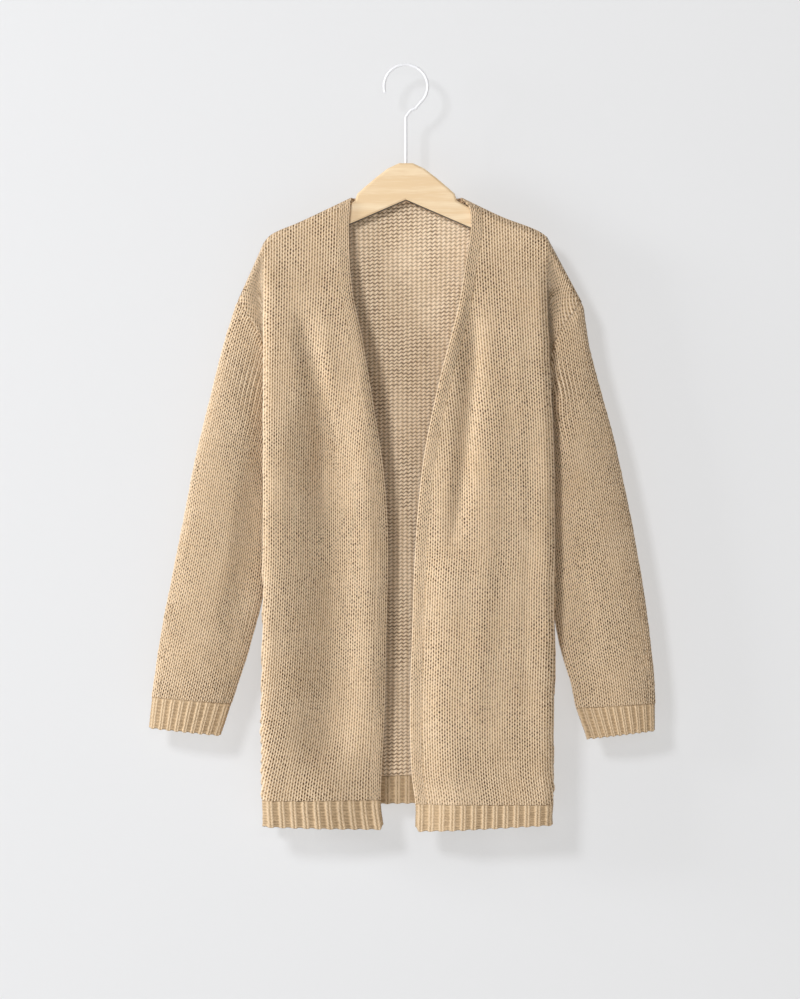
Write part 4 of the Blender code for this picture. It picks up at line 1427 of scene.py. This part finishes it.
class Effects:
    """The effects that several finishes share, each a node group that is built once."""

    def __init__(self) -> None:
        """Build the groups."""
        self.strands = self.build_strands()
        self.wool = self.build_wool()

    @staticmethod
    def ends(nodes: Nodes) -> tuple[bpy.types.Node, bpy.types.Node]:
        """A group's input and output nodes."""
        tree = nodes.tree
        return tree.nodes["Group Input"], tree.nodes["Group Output"]

    def build_strands(self) -> bpy.types.NodeTree:
        """Read the stitch map: holes between strands, a mask for painted light where strands stand highest
        and on one slope of each purl wave, and their relief.
        """
        nodes = new_group(
            "Strands",
            {
                "Stitches": ("Vector", None),
                "Gaps per wale": ("Float", 2.0),
                "Gap width": ("Float", 0.35),
                "Gap height": ("Float", 0.26),
                "Hang": ("Float", 1.5),
                "Wander": ("Float", 1.5),
                "Slant light": ("Float", 0.0),
            },
            {"Gap": "Float", "Ridge light": "Float", "Height": "Float"},
        )
        given, result = self.ends(nodes)
        split = nodes.add("SeparateXYZ", {0: given.outputs["Stitches"]})
        noise = nodes.noise(given.outputs["Stitches"], 0.9, 2.0)
        chance = nodes.add("SeparateColor", {0: noise.outputs[1]})
        shift, sink, sway = (
            nodes.math("MULTIPLY", nodes.math("SUBTRACT", chance.outputs[k], 0.5), given.outputs["Wander"])
            for k in range(3)
        )
        course = nodes.math("ADD", split.outputs[1], nodes.math("MULTIPLY", sink, 0.35))
        moved = nodes.math("ADD", split.outputs[0], nodes.math("MULTIPLY", sway, 0.12))
        wale = nodes.math("MULTIPLY", moved, given.outputs["Gaps per wale"])
        across = nodes.math("PINGPONG", wale, 0.5)
        odd = nodes.math("GREATER_THAN", nodes.math("PINGPONG", nodes.math("MULTIPLY", wale, 0.5), 0.5), 0.25)
        level = nodes.math("SUBTRACT", nodes.math("MULTIPLY", odd, 0.5), nodes.math("PINGPONG", course, 0.5))
        wide = nodes.math("DIVIDE", across, given.outputs["Gap width"])
        high = nodes.math("DIVIDE", level, given.outputs["Gap height"])
        squares = [nodes.math("POWER", part, 2.0) for part in (wide, high)]
        size = nodes.math("ADD", nodes.math("SQRT", nodes.math("ADD", *squares)), shift)
        gap = nodes.step(size, 0.4, 1.15, 1.0, 0.0)
        # Painted light: one half of each wave of the purl rows is painted lighter than the other, as if lit
        # from the upper left.
        lean = nodes.math("SINE", nodes.math("MULTIPLY", moved, math.tau))
        one_leg = nodes.math("SUBTRACT", 0.5, nodes.math("MULTIPLY", lean, 0.5))
        stroke = nodes.math("MULTIPLY", one_leg, given.outputs["Slant light"])
        ridge = nodes.math("ADD", nodes.step(across, 0.15, 0.5), stroke)
        fallen = nodes.math("MULTIPLY", nodes.math("PINGPONG", split.outputs[0], 0.5), given.outputs["Hang"])
        risen = nodes.math("SUBTRACT", course, nodes.math("MULTIPLY", fallen, 2.0))
        strand = nodes.math("PINGPONG", risen, 0.5)
        roll = nodes.math("SINE", nodes.math("MULTIPLY", strand, math.pi))
        turns = [nodes.math("MULTIPLY", way, rate) for way, rate in ((across, 16.0), (course, 6.0))]
        twist_at = nodes.math("ADD", *turns)
        twist = nodes.math("MULTIPLY", nodes.math("SINE", twist_at), 0.12)
        nodes.feed(result, {"Gap": gap, "Ridge light": ridge, "Height": nodes.math("ADD", roll, twist)})
        return nodes.tree

    def build_wool(self) -> bpy.types.NodeTree:
        """Colour of the wool: two tones in soft patches and flecks, with painted light on the strands' ridges
        and painted shade, darker and warmer, in the gaps.
        """
        nodes = new_group(
            "Wool",
            {
                "Light": ("Color", (0.7, 0.6, 0.4, 1.0)),
                "Deep": ("Color", (0.5, 0.4, 0.3, 1.0)),
                "Gap shade": ("Color", (0.2, 0.1, 0.06, 1.0)),
                "Gap": ("Float", 0.0),
                "Ridge light": ("Float", 0.0),
                "Gap strength": ("Float", 0.8),
            },
            {"Color": "Color", "Fuzz": "Float"},
        )
        given, result = self.ends(nodes)
        place = nodes.place()
        patches = nodes.noise(place, 26.0, 3.0, Roughness=0.6)
        flecks = nodes.noise(place, 900.0, 2.0, Roughness=0.7)
        fuzz = nodes.noise(place, 2600.0, 2.0)
        tone = nodes.math("ADD", nodes.math("MULTIPLY", patches.outputs[0], 0.4), flecks.outputs[0])
        # Painted light and shade: the strands' ridges are mixed towards the light tone, and the recesses
        # beside them stay in the deep tone.
        tone = nodes.math("ADD", tone, nodes.math("MULTIPLY", given.outputs["Ridge light"], 0.7))
        wool = nodes.mix(nodes.step(tone, 0.55, 1.4), given.outputs["Deep"], given.outputs["Light"])
        long = nodes.add("Mapping", {"Vector": place, "Scale": (42.0, 42.0, 13.0)})
        loose = nodes.noise(long.outputs[0], 1.0, 2.0)
        # Painted shade: the holes between strands are mixed towards the dark gap shade colour, more or less
        # strongly at random.
        dark = nodes.math("MULTIPLY", given.outputs["Gap"], given.outputs["Gap strength"])
        dark = nodes.math("MULTIPLY", dark, nodes.step(loose.outputs[0], 0.36, 0.62, 0.6, 1.0))
        colour = nodes.mix(dark, wool, given.outputs["Gap shade"])
        nodes.feed(result, {"Color": colour, "Fuzz": fuzz.outputs[0]})
        return nodes.tree


@dataclass(frozen=True)
class WoolFinish:
    """A knitted surface."""

    name: str
    # light and deep: two tones of the yarn that mix at random, and also the painted highlight on ridges and
    # painted shade in recesses.
    light: tuple[float, float, float] = (0.90, 0.71, 0.50)
    deep: tuple[float, float, float] = (0.62, 0.42, 0.235)
    # hollow: colour of the painted shade in the holes between strands.
    hollow: tuple[float, float, float] = (0.10, 0.05, 0.018)
    gaps_per_wale: float = 2.0
    gap_width: float = 0.34
    gap_height: float = 0.34
    gap_strength: float = 1.0
    hang: float = 1.5
    slant_light: float = 0.0
    relief: float = 0.0006

    def build(self, effects: Effects) -> bpy.types.Material:
        """Make the material.

        Args:
            effects: the shared groups.

        Returns:
            The material.
        """
        made, nodes, shader = new_material(self.name)
        strands = {
            "Stitches": nodes.add("UVMap", uv_map="Stitches").outputs[0],
            "Gaps per wale": self.gaps_per_wale,
            "Gap width": self.gap_width,
            "Gap height": self.gap_height,
            "Hang": self.hang,
            "Slant light": self.slant_light,
        }
        strands = nodes.add("Group", strands, node_tree=effects.strands).outputs
        wool = {
            "Light": (*self.light, 1.0),
            "Deep": (*self.deep, 1.0),
            "Gap shade": (*self.hollow, 1.0),
            "Gap strength": self.gap_strength,
            "Gap": strands["Gap"],
            "Ridge light": strands["Ridge light"],
        }
        wool = nodes.add("Group", wool, node_tree=effects.wool).outputs
        height = nodes.math("ADD", strands["Height"], nodes.math("MULTIPLY", wool["Fuzz"], 0.35))
        bump = nodes.add("Bump", {"Height": height, "Strength": 0.7, "Distance": self.relief})
        surface = {
            "Base Color": wool["Color"],
            "Normal": bump.outputs[0],
            "Roughness": 0.92,
            "Specular IOR Level": 0.15,
            "Sheen Weight": 0.25,
            "Sheen Roughness": 0.5,
            "Sheen Tint": (0.95, 0.86, 0.72, 1.0),
        }
        nodes.feed(shader, surface)
        return made


@dataclass(frozen=True)
class WoodFinish:
    """Pale, satin-varnished wood with a fine straight grain, and painted shade on its underside."""

    name: str = "hanger_wood"
    pale: tuple[float, float, float] = (0.85, 0.66, 0.42)
    grain: tuple[float, float, float] = (0.77, 0.55, 0.31)
    # under: a near-black painted shade for the faces that point downwards, standing in for the shade under
    # the hanger.
    under: tuple[float, float, float] = (0.07, 0.062, 0.055)
    roughness: float = 0.38

    def build(self) -> bpy.types.Material:
        """Make the material."""
        made, nodes, shader = new_material(self.name)
        along_grain = {"Vector": nodes.place(), "Scale": (7.0, 60.0, 95.0), "Rotation": (0.0, 0.05, 0.0)}
        turned = nodes.add("Mapping", along_grain).outputs[0]
        broad = nodes.noise(turned, 1.0, 4.0, Distortion=0.4)
        fine = nodes.noise(turned, 9.0, 3.0)
        shares = [nodes.math("MULTIPLY", wave.outputs[0], k) for wave, k in ((broad, 0.7), (fine, 0.3))]
        tone = nodes.math("ADD", *shares)
        colour = nodes.mix(nodes.step(tone, 0.4, 0.66), (*self.grain, 1.0), (*self.pale, 1.0))
        # Painted shade: faces that point downwards are mixed towards the under colour.
        facing = nodes.add("SeparateXYZ", {0: nodes.add("NewGeometry").outputs["Normal"]}).outputs[2]
        colour = nodes.mix(nodes.step(facing, -0.65, -0.3, 1.0, 0.0), colour, (*self.under, 1.0))
        rough = nodes.step(tone, 0.3, 0.7, self.roughness + 0.08, self.roughness - 0.04)
        bump = nodes.add("Bump", {"Height": tone, "Strength": 0.25, "Distance": 0.0003})
        nodes.feed(shader, {"Base Color": colour, "Roughness": rough, "Normal": bump.outputs[0]})
        return made


@dataclass(frozen=True)
class WireFinish:
    """Pale coated wire with faint wear."""

    name: str = "hook_wire"
    colour: tuple[float, float, float] = (0.86, 0.86, 0.87)

    def build(self) -> bpy.types.Material:
        """Make the material."""
        made, nodes, shader = new_material(self.name)
        wear = nodes.noise(nodes.place(), 260.0, 3.0)
        rough = nodes.step(wear.outputs[0], 0.3, 0.7, 0.3, 0.42)
        nodes.feed(shader, {"Base Color": (*self.colour, 1.0), "Roughness": rough, "Specular IOR Level": 0.6})
        return made


@dataclass(frozen=True)
class Cut:
    """The flat size of one piece of cloth."""

    width: float
    length: float
    area: float | None = None


@dataclass
class Cardigan:
    """All of the knitted pieces."""

    # The widths of back_cut and sleeve_cuts run along the armhole seams. Measured flat, the back is 0.410
    # wide and the sleeves are 0.216 and 0.214.
    effects: Effects
    front_cuts: tuple[Cut, Cut] = (Cut(0.198, 0.672, 0.1072), Cut(0.216, 0.681, 0.1147))
    front_rib_cuts: tuple[Cut, Cut] = (Cut(0.191, 0.033, 0.0055), Cut(0.212, 0.031, 0.0052))
    back_cut: Cut = Cut(0.493, 0.645, 0.2325)
    back_rib_cut: Cut = Cut(0.418, 0.032, 0.0115)
    sleeve_cuts: tuple[Cut, Cut] = (Cut(0.389, 0.447, 0.0744), Cut(0.391, 0.451, 0.0731))
    cuff_cuts: tuple[Cut, Cut] = (Cut(0.185, 0.038, 0.0062), Cut(0.184, 0.037, 0.0056))

    def __post_init__(self) -> None:
        """Make the finishes."""
        self.knit = WoolFinish("stocking_stitch").build(self.effects)
        # The inside's light and deep tones are a lighter copy of the stocking stitch's: painted light that
        # stands in for light reaching the back's inside.
        purl = WoolFinish(
            "stocking_stitch_inside", light=(0.97, 0.78, 0.57), deep=(0.70, 0.50, 0.31), gaps_per_wale=0.0,
            gap_height=0.24, gap_strength=0.75, hang=0.0, slant_light=0.8,
        )
        self.purl = purl.build(self.effects)
        rib = WoolFinish(
            "ribbing", light=(0.72, 0.54, 0.35), deep=(0.58, 0.41, 0.24), gap_width=0.26, gap_height=0.5,
            gap_strength=0.4, hang=0.0,
        )
        self.rib = rib.build(self.effects)

    def piece(
        self, node: str, form: Form, outer: Relief, inner: Relief, cut: Cut, seed: int
    ) -> bpy.types.Object:
        """Make one knitted piece and log its triangles.

        Args:
            node: the node that it replaces.
            form: the surface that it lies on.
            outer: fabric of its outside.
            inner: fabric of its inside.
            cut: its flat size; not used.
            seed: start of its random numbers.

        Returns:
            The piece.
        """
        draw = np.random.default_rng(seed)
        faces = weave(form, outer, 1.0, 0, draw), weave(form, inner, -1.0, 1, draw)
        made = Shell(*faces, form.closed, form.turned).build("knit_" + node)
        ribbed = outer is RIB
        made.data.materials.append(self.rib if ribbed else self.knit)
        made.data.materials.append(self.rib if ribbed else self.purl)
        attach(made, "root")
        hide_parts(node)
        log.info("%s: %d triangles", made.name, len(made.data.polygons))
        return made

    def build(self) -> list[bpy.types.Object]:
        """Make every piece."""
        kinds = (
            ("front", FrontForm, KNIT, self.front_cuts),
            ("hem_rib_front", FrontRibForm, RIB, self.front_rib_cuts),
            ("sleeve", SleeveForm, KNIT, self.sleeve_cuts),
            ("cuff", CuffForm, RIB, self.cuff_cuts),
        )
        made = []
        for k, side in enumerate((LEFT, RIGHT)):
            for number, (kind, form, relief, cuts) in enumerate(kinds, start=1):
                seed = 10 * number + k
                made.append(self.piece(f"{kind}_{side.name}", form(side), relief, PLAIN, cuts[k], seed))
        made.append(self.piece("back", BackForm(), KNIT_LATTICE, PURL, self.back_cut, 50))
        made.append(self.piece("hem_rib_back", BackRibForm(), RIB, RIB, self.back_rib_cut, 51))
        return made


@dataclass
class Hanger:
    """The wooden hanger and its hook, which keep the frame's own meshes."""

    wood: WoodFinish = WoodFinish()
    wire: WireFinish = WireFinish()

    def build(self) -> None:
        """Give both nodes their finishes."""
        for name, finish in (("hanger_body", self.wood), ("hanger_hook", self.wire)):
            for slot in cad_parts[name].material_slots:
                slot.material = finish.build()
            log.info("%s: finished", name)


@dataclass
class Studio:
    """Camera, lights, wall and floor."""

    distance: float = 4.0
    view_height: float = 1.0989
    aim: tuple[float, float] = (-0.0066, -0.4769)
    wall_y: float = 0.042
    floor_z: float = -1.25
    wall_tone: float = 0.33
    wall_glow: float = 0.465
    lamp_colour: tuple[float, float, float] = (0.97, 1.0, 1.05)

    def camera(self) -> None:
        """A long lens, square to the cardigan."""
        data = bpy.data.cameras.new("camera")
        data.lens = data.sensor_width * self.distance / self.view_height
        made = add_object("camera", data)
        made.location = (self.aim[0], -self.distance, self.aim[1])
        made.rotation_euler = (math.pi / 2, 0.0, 0.0)
        bpy.context.scene.camera = made

    def area_light(self, name: str, place: tuple[float, float, float], size: float, power: float) -> None:
        """A square soft light that looks at the middle of the cardigan.

        Args:
            name: its name.
            place: where it stands.
            size: length of its sides.
            power: in watts.
        """
        data = bpy.data.lights.new(name, "AREA")
        data.size = size
        data.energy = power
        data.color = self.lamp_colour
        made = add_object(name, data)
        made.location = place
        towards = Vector((self.aim[0], 0.0, self.aim[1])) - Vector(place)
        made.rotation_euler = towards.to_track_quat("-Z", "Y").to_euler()

    def plane(self, name: str, corners: tuple[tuple[float, float, float], ...], see_through: bool) -> None:
        """A pale plane of the stage.

        Args:
            name: its name.
            corners: its four corners.
            see_through: whether it can't be seen from behind.
        """
        mesh = bpy.data.meshes.new(name)
        mesh.from_pydata(corners, [], [(0, 1, 2, 3)])
        made = add_object(name, mesh)
        paint, nodes, shader = new_material(name)
        mottle = nodes.noise(nodes.place(), 3.0, 2.0)
        tone = self.wall_tone
        pale, shade = (tone, tone, tone * 1.003, 1.0), (tone * 0.985, tone * 0.985, tone * 0.988, 1.0)
        surface = {
            "Base Color": nodes.mix(mottle.outputs[0], shade, pale),
            "Roughness": 0.9,
            "Specular IOR Level": 0.1,
            "Emission Color": (1.0, 1.0, 1.0, 1.0),
            "Emission Strength": self.wall_glow,
        }
        nodes.feed(shader, surface)
        if see_through:
            behind = nodes.add("NewGeometry").outputs["Backfacing"]
            clear = nodes.add("BsdfTransparent")
            mixed = nodes.add("MixShader", {0: behind, 1: shader.outputs[0], 2: clear.outputs[0]})
            nodes.feed(paint.node_tree.nodes["Material Output"], {0: mixed.outputs[0]})
            made.visible_shadow = False
        mesh.materials.append(paint)

    def build(self) -> None:
        """Set everything up."""
        scene = bpy.context.scene
        scene.view_settings.view_transform = "Standard"
        scene.view_settings.look = "None"
        world = bpy.data.worlds.new("studio")
        scene.world = world
        world.use_nodes = True
        background = world.node_tree.nodes["Background"]
        Nodes(world.node_tree).feed(background, {0: (1.0, 0.80, 0.56, 1.0), 1: 0.12})
        self.area_light("key", (-1.95, -3.9, 1.4), 0.8, 114.0)
        self.area_light("side", (-3.4, -1.1, 0.3), 1.0, 78.0)
        self.area_light("fill", (0.3, -4.6, 0.1), 1.2, 24.0)
        self.area_light("rear", (1.2, 3.4, 1.2), 2.0, 40.0)
        y, z, reach, height = self.wall_y, self.floor_z, 5.0, 2.6
        wall = ((-reach, y, z), (reach, y, z), (reach, y, height), (-reach, y, height))
        floor = ((-reach, -reach, z), (reach, -reach, z), (reach, reach, z), (-reach, reach, z))
        self.plane("wall", wall, True)
        self.plane("floor", floor, False)


def main() -> None:
    """Build the studio, the hanger and the cardigan, and log how many pieces and triangles they have."""
    logging.basicConfig(level=logging.INFO, format="%(name)s: %(message)s")
    Studio().build()
    Studio().camera()
    Hanger().build()
    made = Cardigan(Effects()).build()
    log.info("%d knitted pieces, %d triangles", len(made), sum(len(p.data.polygons) for p in made))


if __name__ == "__main__":
    main()
